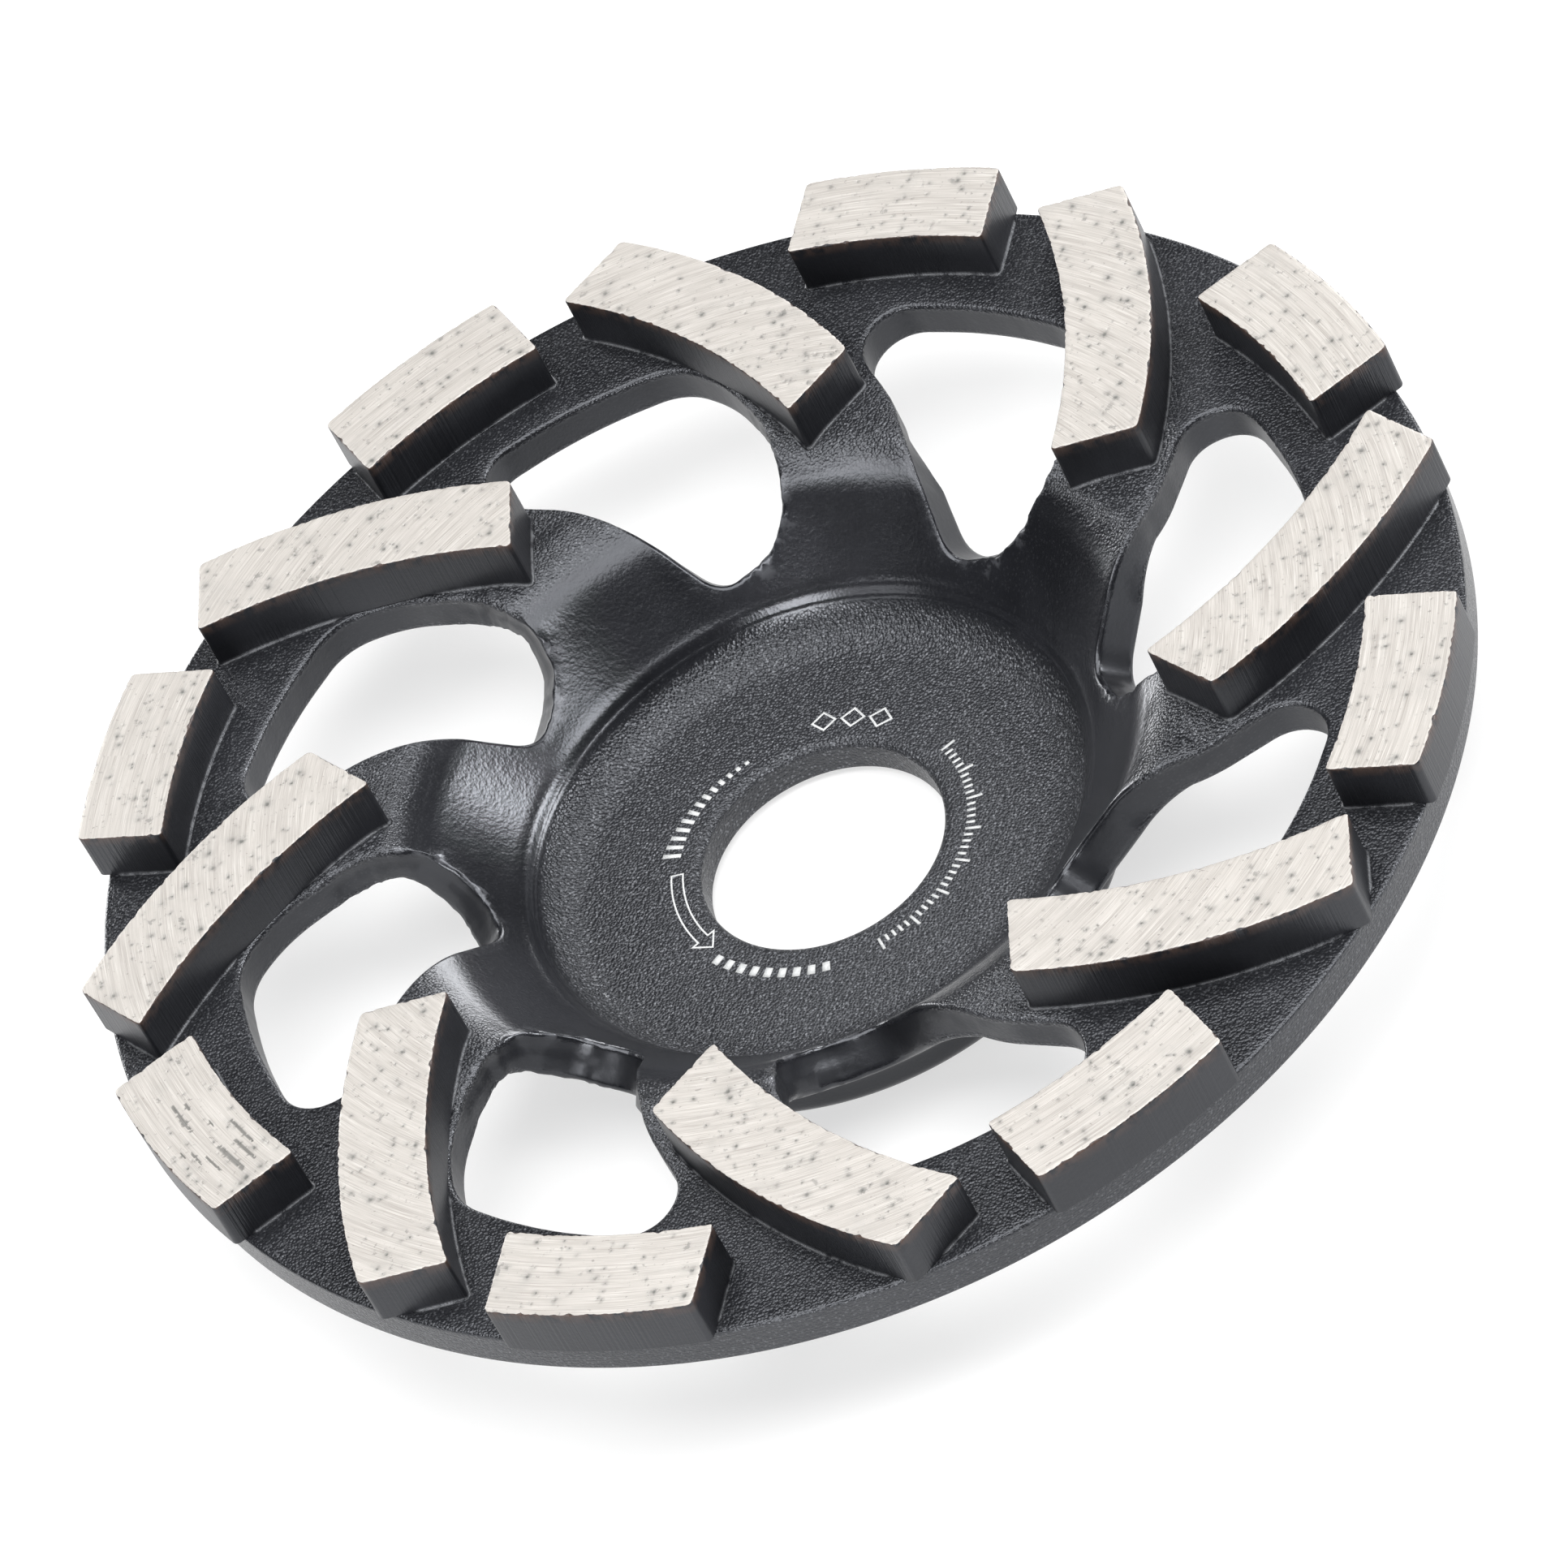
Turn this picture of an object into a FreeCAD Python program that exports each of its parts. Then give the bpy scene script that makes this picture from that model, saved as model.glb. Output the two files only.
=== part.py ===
"""Cup wheel for grinding: a dished steel body with eight swirling windows and two rings of segments.

The origin is the bore's centre on the hub's back face. +Z points towards the ground faces of the
segments, and the first short segment lies on +Y. Everything is in millimetres.
"""
import FreeCAD, Part
import math
import os

import Sketcher
from BOPTools import SplitAPI
from FreeCAD import Vector

# Driving sizes: name, value, what it measures
SIZES = [
    ("window_count", 8, "windows, long segments and short segments round the wheel"),
    ("rim_radius", 61.65, "outside of the steel rim"),
    ("bore_radius", 11.115, "bore for a 22.23 mm arbor"),
    ("sheet_thickness", 3.75, "steel sheet, the same from hub to rim"),
    ("land_height", 16.0, "hub's back face to the flat land that carries the segments"),
    ("slope_angle", 45.9, "slope of the dish"),
    ("bend_radius", 9.0, "bend from land to slope, on the land's side"),
    ("hub_wall_radius", 25.25, "where the slope ends and the hub's short wall begins"),
    ("hub_wall_height", 3.13, "hub's floor to where the slope begins"),
    ("hub_wall_angle", 62.0, "slope of the short wall"),
    ("floor_fillet", 4.6, "hollow between the short wall and the hub's floor"),
    ("boss_radius", 27.0, "outside of the hub's back"),
    ("boss_round", 1.5, "edge of the hub's back"),
    ("bore_round", 0.7, "upper edge of the bore"),
    ("bore_chamfer", 0.55, "lower edge of the bore"),
    ("rim_round", 0.3, "upper edge of the rim"),
    ("rim_chamfer", 0.3, "lower edge of the rim"),
    ("segment_height", 5.0, "land to ground face"),
    ("segment_overhang", 0.85, "how far the segments stand out past the rim"),
    ("segment_corner", 0.5, "upright corners of a segment"),
    ("short_width", 18.6, "short segment, between its parallel ends"),
    ("short_depth", 8.1, "short segment, from its outer side in"),
    ("long_length", 29.5, "long segment, along its slant"),
    ("long_width", 7.9, "long segment, across"),
    ("long_side_radius", 56.4, "bow of the long sides"),
    ("long_middle_inset", 14.2, "long segment's middle, in from the segments' outer side"),
    ("long_middle_angle", 26.3, "turn from a short segment to the next long one"),
    ("long_slant", 40.8, "long segment's lean from the radius through its middle"),
]

# Corners of a window as seen from above, anticlockwise: name, the edge that it is placed from, how far
# it lies outside that edge, its angle from the X axis, and its rounding. They lie on the upper face.
WINDOW_CORNERS = [
    ("lead_foot", "slope", 4.64, 59.00, 14.0),
    ("lead_side", "rim", -15.85, 64.05, 14.0),
    ("rim_lead", "rim", -11.79, 69.07, 6.0),
    ("rim_middle", "rim", -10.90, 79.86, 40.0),
    ("rim_trail", "rim", -10.75, 91.20, 3.7),
    ("trail_side", "rim", -15.58, 93.40, 3.8),
    ("waist", "slope", 5.67, 86.77, 15.0),
    ("hub_trail", "hub", 2.35, 73.07, 3.4),
    ("hub_lead", "hub", 4.88, 57.04, 5.5),
]

# Distances from the axis that the sizes lead to, as the sheet's own expressions
SLOPE_HEAD = ("(sizes.hub_wall_radius + (sizes.land_height - sizes.sheet_thickness"
              " - sizes.hub_wall_height) / tan(sizes.slope_angle))")
BEND_CENTRE = "(%s + sizes.bend_radius * tan(sizes.slope_angle / 2))" % SLOPE_HEAD
SEGMENT_RADIUS = "(sizes.rim_radius + sizes.segment_overhang)"
EDGES = {"hub": "sizes.hub_wall_radius", "slope": SLOPE_HEAD, "rim": "sizes.rim_radius"}

# Working allowances, which leave no mark on the pieces: how far a window's wall runs past both faces of
# the sheet, the points that a curved edge is followed through, the most of a window's side that two
# roundings may take up, and how far the cut of a segment's seat reaches past it, in height and outwards
WALL_OVERRUN = 1.0
CURVE_POINTS = 12
STRAIGHT_SHARE = 0.97
SEAT_MARGIN = 3.0
SEAT_REACH = 12.0

doc = FreeCAD.newDocument("cup_wheel")
sizes = doc.addObject("Spreadsheet::Sheet", "sizes")


def fill_sheet():
    """One row for each driving size, with its name as the alias of its value."""
    rows = list(SIZES)
    for name, edge, offset, angle, rounding in WINDOW_CORNERS:
        rows.append((name + "_offset", offset, "window corner, outside the %s's edge" % edge))
        rows.append((name + "_angle", angle, "window corner, angle from the X axis"))
        rows.append((name + "_round", rounding, "window corner, rounding"))
    for number, (name, value, note) in enumerate(rows, start=1):
        sizes.set("A%d" % number, name)
        sizes.set("B%d" % number, str(value))
        sizes.set("C%d" % number, note)
        sizes.setAlias("B%d" % number, name)
    doc.recompute()


def size(name):
    return float(sizes.get(name))


def origin_plane(body, role):
    return next(plane for plane in body.Origin.OriginFeatures if plane.Role == role)


def new_sketch(body, name, role):
    sketch = body.newObject("Sketcher::SketchObject", name)
    sketch.AttachmentSupport = [(origin_plane(body, role), "")]
    sketch.MapMode = "FlatFace"
    return sketch


def bind(sketch, kind, *where, to):
    """Adds a dimension whose value comes from the sheet, starting at the value it has as drawn."""
    index = sketch.addConstraint(Sketcher.Constraint(kind, *where))
    sketch.setExpression("Constraints[%d]" % index, to)


class Outline:
    """Lines and arcs drawn end to end in a sketch, closed at the finish."""

    START, END, CENTRE = 1, 2, 3

    def __init__(self, sketch):
        self.sketch = sketch
        self.runs = []

    def line(self, start, end):
        """A straight run; start and end are (x, y)."""
        run = self.sketch.addGeometry(Part.LineSegment(Vector(*start, 0), Vector(*end, 0)))
        self.runs.append((run, self.START, self.END))
        return run

    def arc(self, centre, radius, first, last):
        """A round run from angle first to angle last, in degrees; it may go either way."""
        low, high = sorted((math.radians(first), math.radians(last)))
        circle = Part.Circle(Vector(*centre, 0), Vector(0, 0, 1), radius)
        run = self.sketch.addGeometry(Part.ArcOfCircle(circle, low, high))
        ends = (self.START, self.END) if last > first else (self.END, self.START)
        self.runs.append((run,) + ends)
        return run

    def close(self, smooth):
        """Joins each run to the next; smooth holds the places, counted from 0, that are tangent."""
        for place, (run, _, leave) in enumerate(self.runs):
            following, enter, _ = self.runs[(place + 1) % len(self.runs)]
            kind = "Tangent" if place in smooth else "Coincident"
            self.sketch.addConstraint(Sketcher.Constraint(kind, run, leave, following, enter))


def constrain(sketch, kind, *where):
    sketch.addConstraint(Sketcher.Constraint(kind, *where))


def worked_out(expression):
    """Value of an expression on the sheet, as a plain number."""
    return float(sizes.evalExpression(expression))


def bend_centre():
    """Centre of the bend in the wheel's section, as (distance from the axis, height)."""
    return worked_out(BEND_CENTRE), size("land_height") - size("bend_radius")


def draw_section(sketch):
    """Half section of the steel body: hub, short wall, slope, bend, land and rim."""
    bore, thick, land = size("bore_radius"), size("sheet_thickness"), size("land_height")
    rim, boss = size("rim_radius"), size("boss_radius")
    slope, steep = math.radians(size("slope_angle")), math.radians(size("hub_wall_angle"))
    boss_round, bore_round, bore_bevel = size("boss_round"), size("bore_round"), size("bore_chamfer")
    rim_round, chamfer, fillet = size("rim_round"), size("rim_chamfer"), size("floor_fillet")
    bend, wall_top = size("bend_radius"), size("hub_wall_radius")
    bend_x, bend_z = bend_centre()
    lower_bend = bend - thick
    under_bend = (bend_x - lower_bend * math.sin(slope), bend_z + lower_bend * math.cos(slope))
    under_boss = (boss, under_bend[1] - (under_bend[0] - boss) * math.tan(slope))
    over_bend = (bend_x - bend * math.sin(slope), bend_z + bend * math.cos(slope))
    wall_head = (wall_top, over_bend[1] - (over_bend[0] - wall_top) * math.tan(slope))
    wall_foot = wall_top - (wall_head[1] - thick) / math.tan(steep)
    fillet_x = wall_foot - fillet * math.tan(steep / 2)
    fillet_end = (fillet_x + fillet * math.sin(steep), thick + fillet * (1 - math.cos(steep)))

    outline = Outline(sketch)
    back = outline.line((bore + bore_bevel, 0), (boss - boss_round, 0))
    back_edge = outline.arc((boss - boss_round, boss_round), boss_round, -90, 0)
    boss_side = outline.line((boss, boss_round), under_boss)
    under_slope = outline.line(under_boss, under_bend)
    inner_bend = outline.arc((bend_x, bend_z), lower_bend, 90 + size("slope_angle"), 90)
    under_land = outline.line((bend_x, land - thick), (rim - chamfer, land - thick))
    rim_bevel = outline.line((rim - chamfer, land - thick), (rim, land - thick + chamfer))
    rim_side = outline.line((rim, land - thick + chamfer), (rim, land - rim_round))
    rim_edge = outline.arc((rim - rim_round, land - rim_round), rim_round, 0, 90)
    land_top = outline.line((rim - rim_round, land), (bend_x, land))
    outer_bend = outline.arc((bend_x, bend_z), bend, 90, 90 + size("slope_angle"))
    slope_top = outline.line(over_bend, wall_head)
    short_wall = outline.line(wall_head, fillet_end)
    hollow = outline.arc((fillet_x, thick + fillet), fillet, size("hub_wall_angle") - 90, -90)
    floor = outline.line((fillet_x, thick), (bore + bore_round, thick))
    bore_edge = outline.arc((bore + bore_round, thick - bore_round), bore_round, 90, 180)
    bore_side = outline.line((bore, thick - bore_round), (bore, bore_bevel))
    back_bevel = outline.line((bore, bore_bevel), (bore + bore_bevel, 0))
    outline.close(smooth={0, 1, 3, 4, 7, 8, 9, 10, 12, 13, 14, 15})

    start, end, centre = Outline.START, Outline.END, Outline.CENTRE
    for run in (back, under_land, land_top, floor):
        constrain(sketch, "Horizontal", run)
    for run in (boss_side, rim_side, bore_side):
        constrain(sketch, "Vertical", run)
    constrain(sketch, "PointOnObject", back, start, -1)
    constrain(sketch, "Coincident", inner_bend, centre, outer_bend, centre)
    constrain(sketch, "Parallel", under_slope, slope_top)
    bind(sketch, "DistanceX", -1, 1, bore_side, start, bore, to="sizes.bore_radius")
    bind(sketch, "DistanceX", -1, 1, boss_side, start, boss, to="sizes.boss_radius")
    bind(sketch, "DistanceX", -1, 1, rim_side, start, rim, to="sizes.rim_radius")
    bind(sketch, "DistanceX", -1, 1, outer_bend, centre, bend_x, to=BEND_CENTRE)
    bind(sketch, "DistanceX", -1, 1, short_wall, start, wall_top, to="sizes.hub_wall_radius")
    bind(sketch, "DistanceY", -1, 1, land_top, start, land, to="sizes.land_height")
    bind(sketch, "DistanceY", -1, 1, floor, start, thick, to="sizes.sheet_thickness")
    bind(sketch, "DistanceY", under_land, start, land_top, end, thick, to="sizes.sheet_thickness")
    bind(sketch, "DistanceX", back_bevel, start, back_bevel, end, bore_bevel, to="sizes.bore_chamfer")
    bind(sketch, "DistanceY", back_bevel, end, back_bevel, start, bore_bevel, to="sizes.bore_chamfer")
    bind(sketch, "DistanceX", rim_bevel, start, rim_bevel, end, chamfer, to="sizes.rim_chamfer")
    bind(sketch, "DistanceY", rim_bevel, start, rim_bevel, end, chamfer, to="sizes.rim_chamfer")
    bind(sketch, "Radius", outer_bend, bend, to="sizes.bend_radius")
    bind(sketch, "Radius", back_edge, boss_round, to="sizes.boss_round")
    bind(sketch, "Radius", rim_edge, rim_round, to="sizes.rim_round")
    bind(sketch, "Radius", hollow, fillet, to="sizes.floor_fillet")
    bind(sketch, "Radius", bore_edge, bore_round, to="sizes.bore_round")
    bind(sketch, "Angle", under_slope, start, -1, 1, -slope, to="-sizes.slope_angle * 1 deg")
    bind(sketch, "Angle", short_wall, end, -1, 1, -steep, to="-sizes.hub_wall_angle * 1 deg")


def make_blank():
    """The dished sheet before its windows are cut: the half section turned about the axis."""
    body = doc.addObject("PartDesign::Body", "steel_blank")
    section = new_sketch(body, "wheel_section", "XZ_Plane")
    draw_section(section)
    dish = body.newObject("PartDesign::Revolution", "dish")
    dish.Profile = section
    dish.ReferenceAxis = (section, ["V_Axis"])
    dish.Angle = 360
    body.Tip = dish
    return body


def polar(radius, angle):
    """Plan point at a distance from the axis and an angle in degrees from the X axis."""
    return Vector(radius * math.cos(math.radians(angle)), radius * math.sin(math.radians(angle)), 0)


def half_angles(corners):
    """Half the angle between the two sides that meet at each corner."""
    halves = []
    for place, corner in enumerate(corners):
        before, after = corners[place - 1] - corner, corners[(place + 1) % len(corners)] - corner
        halves.append(before.getAngle(after) / 2)
    return halves


def rounding_shares(corners, roundings):
    """How much of its rounding each corner keeps: less than 1 only where two would meet on a side."""
    reaches = [rounding / math.tan(half) for rounding, half in zip(roundings, half_angles(corners))]
    shares = [1.0] * len(corners)
    for place in range(len(corners)):
        following = (place + 1) % len(corners)
        length = (corners[following] - corners[place]).Length
        fits = min(1.0, STRAIGHT_SHARE * length / (reaches[place] + reaches[following]))
        shares[place] = min(shares[place], fits)
        shares[following] = min(shares[following], fits)
    return shares


def draw_window():
    """Plan outline of one window: straight sides between the named corners, each corner rounded."""
    sketch = doc.addObject("Sketcher::SketchObject", "window_outline")
    reaches = ["(%s + sizes.%s_offset)" % (EDGES[edge], name) for name, edge, *_ in WINDOW_CORNERS]
    corners = [polar(worked_out(reach), size(name + "_angle"))
               for reach, (name, *_) in zip(reaches, WINDOW_CORNERS)]
    roundings = [size(name + "_round") for name, *_ in WINDOW_CORNERS]
    shares = rounding_shares(corners, roundings)
    roundings = [rounding * share for rounding, share in zip(roundings, shares)]
    count = len(corners)

    centres, touches = [], []
    for place, (corner, half_angle) in enumerate(zip(corners, half_angles(corners))):
        before = (corners[place - 1] - corner).normalize()
        after = (corners[(place + 1) % count] - corner).normalize()
        reach = roundings[place] / math.tan(half_angle)
        middle = (before + after).normalize()
        centres.append(corner + middle * (roundings[place] / math.sin(half_angle)))
        touches.append((corner + before * reach, corner + after * reach))

    points = [sketch.addGeometry(Part.Point(corner), True) for corner in corners]
    outline = Outline(sketch)
    sides, rounds = [], []
    for place in range(count):
        following = (place + 1) % count
        arrive, leave = touches[place]
        first = math.degrees(math.atan2(*(arrive - centres[place])[1::-1]))
        last = math.degrees(math.atan2(*(leave - centres[place])[1::-1]))
        last = first + (last - first + 180) % 360 - 180
        rounds.append(outline.arc(tuple(centres[place])[:2], roundings[place], first, last))
        sides.append(outline.line(tuple(leave)[:2], tuple(touches[following][0])[:2]))
    outline.close(smooth=range(2 * count))

    for place, (name, *_) in enumerate(WINDOW_CORNERS):
        corner, reach, angle = corners[place], reaches[place], "sizes.%s_angle" % name
        bind(sketch, "DistanceX", -1, 1, points[place], 1, corner.x, to="%s * cos(%s)" % (reach, angle))
        bind(sketch, "DistanceY", -1, 1, points[place], 1, corner.y, to="%s * sin(%s)" % (reach, angle))
        rounding = "sizes.%s_round * %g" % (name, shares[place])
        bind(sketch, "Radius", rounds[place], roundings[place], to=rounding)
        constrain(sketch, "PointOnObject", points[place], 1, sides[place])
        constrain(sketch, "PointOnObject", points[(place + 1) % count], 1, sides[place])
    return sketch


def on_sheet(plan, depth):
    """Point at a depth below the sheet's upper face, on the sheet's normal through a plan point."""
    bend_x, bend_z = bend_centre()
    bend, slope = size("bend_radius"), math.radians(size("slope_angle"))
    radius = math.hypot(plan.x, plan.y)
    lean = max(0.0, min(slope, math.asin(max(-1.0, min(1.0, (bend_x - radius) / bend)))))
    tangent_radius = bend_x - bend * math.sin(lean)
    height = bend_z + bend * math.cos(lean)
    if lean >= slope:
        height -= (tangent_radius - radius) * math.tan(slope)
    outward = Vector(plan.x, plan.y, 0).normalize()
    return outward * (radius + depth * math.sin(lean)) + Vector(0, 0, height - depth * math.cos(lean))


def window_wall(outline):
    """Wall of one window, square to the sheet all round, from above its upper face to below its lower."""
    reach = size("sheet_thickness") + 2 * WALL_OVERRUN
    bend_top = bend_centre()[0]
    bend_foot = bend_top - size("bend_radius") * math.sin(math.radians(size("slope_angle")))
    rings = [Part.makeCircle(radius) for radius in (bend_foot, bend_top)]
    faces = []
    for edge in SplitAPI.slice(outline, rings, "Split", 0).Edges:
        points = edge.discretize(CURVE_POINTS)
        if points[len(points) // 2].Length > bend_top:
            edge.translate(Vector(0, 0, size("land_height") + WALL_OVERRUN))
            faces.append(edge.extrude(Vector(0, 0, -reach)))
            continue
        rails = []
        for depth in (-WALL_OVERRUN, reach - WALL_OVERRUN):
            rail = Part.BSplineCurve()
            rail.interpolate([on_sheet(point, depth) for point in points])
            rails.append(rail.toShape())
        faces.append(Part.makeRuledSurface(*rails))
    return Part.makeShell(faces)


def make_steel_body(blank, outline):
    """The sheet with its windows: each wall parts a slug from the sheet, and the slugs fall out."""
    wall = window_wall(outline)
    pitch = 360 / size("window_count")
    walls = []
    for turn in range(int(size("window_count"))):
        copy = wall.copy()
        copy.rotate(Vector(), Vector(0, 0, 1), -turn * pitch)
        walls.append(copy)
    parted, _ = blank.generalFuse(walls)
    steel = doc.addObject("Part::Feature", "steel_body")
    steel.Shape = max(parted.Solids, key=lambda solid: solid.Volume)
    return steel


def draw_seat(sketch):
    """What a segment has to clear: the sheet's upper face below it and the grinding radius outside it."""
    bend_x, bend_z = bend_centre()
    bend, slope = size("bend_radius"), math.radians(size("slope_angle"))
    land, outer = size("land_height"), worked_out(SEGMENT_RADIUS)
    foot = (bend_x - bend * math.sin(slope), bend_z + bend * math.cos(slope))
    top = land + size("segment_height") + SEAT_MARGIN
    low, far = foot[1] - SEAT_MARGIN, outer + SEAT_REACH

    outline = Outline(sketch)
    inner = outline.line(foot, (foot[0], low))
    under = outline.line((foot[0], low), (far, low))
    outside = outline.line((far, low), (far, top))
    above = outline.line((far, top), (outer, top))
    side = outline.line((outer, top), (outer, land))
    ledge = outline.line((outer, land), (bend_x, land))
    curve = outline.arc((bend_x, bend_z), bend, 90, 90 + size("slope_angle"))
    outline.close(smooth={5})

    start, end, centre = Outline.START, Outline.END, Outline.CENTRE
    for run in (under, above, ledge):
        constrain(sketch, "Horizontal", run)
    for run in (inner, outside, side):
        constrain(sketch, "Vertical", run)
    bind(sketch, "DistanceX", -1, 1, curve, centre, bend_x, to=BEND_CENTRE)
    bind(sketch, "DistanceY", -1, 1, ledge, start, land, to="sizes.land_height")
    bind(sketch, "Radius", curve, bend, to="sizes.bend_radius")
    bind(sketch, "DistanceX", inner, start, curve, centre, bend * math.sin(slope),
         to="sizes.bend_radius * sin(sizes.slope_angle)")
    bind(sketch, "DistanceX", -1, 1, side, start, outer, to=SEGMENT_RADIUS)
    constrain(sketch, "DistanceX", above, end, above, start, SEAT_REACH)
    constrain(sketch, "DistanceY", inner, end, inner, start, SEAT_MARGIN)
    bind(sketch, "DistanceY", side, end, side, start, top - land,
         to="sizes.segment_height + %g" % SEAT_MARGIN)


def draw_short(sketch):
    """Short segment from above: parallel ends, an inner side about the axis, and spare metal outside."""
    half, outside = size("short_width") / 2, worked_out(SEGMENT_RADIUS)
    inner, spare = outside - size("short_depth"), outside + SEAT_MARGIN
    corner = math.sqrt(inner ** 2 - half ** 2)
    spread = math.degrees(math.asin(half / inner))

    outline = Outline(sketch)
    right = outline.line((half, corner), (half, spare))
    outer = outline.line((half, spare), (-half, spare))
    left = outline.line((-half, spare), (-half, corner))
    inside = outline.arc((0, 0), inner, 90 + spread, 90 - spread)
    outline.close(smooth=set())

    start, end, centre = Outline.START, Outline.END, Outline.CENTRE
    constrain(sketch, "Vertical", right)
    constrain(sketch, "Vertical", left)
    constrain(sketch, "Coincident", inside, centre, -1, 1)
    constrain(sketch, "Symmetric", outer, start, outer, end, -2)
    bind(sketch, "DistanceX", outer, end, outer, start, 2 * half, to="sizes.short_width")
    bind(sketch, "Radius", inside, inner, to="%s - sizes.short_depth" % SEGMENT_RADIUS)
    bind(sketch, "DistanceY", -1, 1, outer, start, spare, to="%s + %g" % (SEGMENT_RADIUS, SEAT_MARGIN))


def draw_long(sketch):
    """Long segment about its own middle: straight ends, and two long sides that bow the same way."""
    half, across = size("long_length") / 2, size("long_width") / 2
    bow = size("long_side_radius")
    rise = math.sqrt(bow ** 2 - half ** 2)
    spread = math.degrees(math.asin(half / bow))

    outline = Outline(sketch)
    leading = outline.arc((0, rise - across), bow, -90 - spread, -90 + spread)
    outer = outline.line((half, -across), (half, across))
    trailing = outline.arc((0, rise + across), bow, -90 + spread, -90 - spread)
    inner = outline.line((-half, across), (-half, -across))
    outline.close(smooth=set())

    start, end = Outline.START, Outline.END
    constrain(sketch, "Symmetric", outer, start, outer, end, -1)
    constrain(sketch, "Symmetric", outer, end, inner, start, -2)
    constrain(sketch, "Symmetric", outer, start, inner, end, -2)
    bind(sketch, "DistanceX", inner, start, outer, end, 2 * half, to="sizes.long_length")
    bind(sketch, "DistanceY", outer, start, outer, end, 2 * across, to="sizes.long_width")
    bind(sketch, "Radius", leading, bow, to="sizes.long_side_radius")
    bind(sketch, "Radius", trailing, bow, to="sizes.long_side_radius")


def place_long(sketch):
    """Sets the long segment's sketch at its middle and turns it to its slant."""
    reach = "(%s - sizes.long_middle_inset)" % SEGMENT_RADIUS
    angle = "(90 - sizes.long_middle_angle)"
    sketch.setExpression("AttachmentOffset.Base.x", "%s * cos%s" % (reach, angle))
    sketch.setExpression("AttachmentOffset.Base.y", "%s * sin%s" % (reach, angle))
    sketch.setExpression("AttachmentOffset.Rotation.Angle", "(%s + sizes.long_slant) * 1 deg" % angle)


def upright_edges(shape):
    """Names of a segment's upright corners."""
    shortest = size("segment_height") / 2
    names = []
    for number, edge in enumerate(shape.Edges, start=1):
        ends = [vertex.Point for vertex in edge.Vertexes]
        if len(ends) == 2 and abs(ends[0].z - ends[1].z) > shortest:
            names.append("Edge%d" % number)
    return names


def make_segment(kind, number, draw, place):
    """One segment: a block raised from below the land, cut to its seat, with its corners rounded."""
    body = doc.addObject("PartDesign::Body", "%s_segment_%d" % (kind, number))
    plan = new_sketch(body, "%s_plan_%d" % (kind, number), "XY_Plane")
    draw(plan)
    if place:
        place(plan)
    plan.setExpression("AttachmentOffset.Base.z", "sizes.land_height - %g" % SEAT_MARGIN)
    block = body.newObject("PartDesign::Pad", "%s_block_%d" % (kind, number))
    block.Profile = plan
    block.setExpression("Length", "sizes.segment_height + %g" % SEAT_MARGIN)

    seat = new_sketch(body, "%s_seat_%d" % (kind, number), "XZ_Plane")
    draw_seat(seat)
    foot = body.newObject("PartDesign::Groove", "%s_foot_%d" % (kind, number))
    foot.Profile = seat
    foot.ReferenceAxis = (seat, ["V_Axis"])
    foot.Angle = 360
    doc.recompute()

    corners = body.newObject("PartDesign::Fillet", "%s_corners_%d" % (kind, number))
    corners.Base = (foot, upright_edges(foot.Shape))
    corners.setExpression("Radius", "sizes.segment_corner")
    body.Tip = corners
    turn = "%d * 360 deg / sizes.window_count" % (1 - number)
    body.setExpression("Placement.Rotation.Angle", turn)
    return body


def check(pieces):
    """Stops the build if any object failed, or a piece isn't one valid solid."""
    for thing in doc.Objects:
        faults = {"Invalid", "Error"} & set(thing.State)
        if faults:
            raise RuntimeError("%s failed: %s" % (thing.Label, faults))
    for piece in pieces:
        shape = piece.Shape
        if shape.isNull() or not shape.isValid() or len(shape.Solids) != 1:
            raise RuntimeError("%s isn't one valid solid" % piece.Label)


def main():
    fill_sheet()
    blank = make_blank()
    outline = draw_window()
    doc.recompute()
    pieces = [make_steel_body(blank.Shape, outline.Shape)]
    for number in range(1, int(size("window_count")) + 1):
        pieces.append(make_segment("short", number, draw_short, None))
        pieces.append(make_segment("long", number, draw_long, place_long))
    doc.recompute()
    check(pieces)
    os.makedirs("parts", exist_ok=True)
    for piece in pieces:
        piece.Shape.exportStep("parts/%s.step" % piece.Label)
        print("%s %.1f mm3" % (piece.Label, piece.Shape.Volume))


main()
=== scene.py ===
"""Diamond cup wheel: coated steel body with swirling windows, and sixteen ground segments.

Lengths are in millimetres until a mesh is made. The wheel's axis is Z and its hub's back is at Z = 0.
"""
import math
import random

import bmesh
import bpy
import numpy as np
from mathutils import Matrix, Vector, noise
from mathutils.geometry import delaunay_2d_cdt


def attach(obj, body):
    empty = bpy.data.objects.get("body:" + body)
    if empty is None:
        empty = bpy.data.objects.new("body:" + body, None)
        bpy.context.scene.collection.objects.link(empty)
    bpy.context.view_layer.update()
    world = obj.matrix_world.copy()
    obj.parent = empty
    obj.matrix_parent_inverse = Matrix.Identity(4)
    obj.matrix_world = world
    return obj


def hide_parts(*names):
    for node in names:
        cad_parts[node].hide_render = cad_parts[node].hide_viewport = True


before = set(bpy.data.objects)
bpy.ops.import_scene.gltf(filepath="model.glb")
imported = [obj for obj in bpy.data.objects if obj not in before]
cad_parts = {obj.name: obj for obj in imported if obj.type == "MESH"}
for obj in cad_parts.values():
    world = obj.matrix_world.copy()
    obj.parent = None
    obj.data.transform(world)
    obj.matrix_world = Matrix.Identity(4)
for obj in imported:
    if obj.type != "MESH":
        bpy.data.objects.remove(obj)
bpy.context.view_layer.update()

MM = 0.001
# A triangle's least area, as a share of its longest side squared
SLIVER = 0.0002
# Points compared with a loop at one time
BLOCK = 4000

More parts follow.
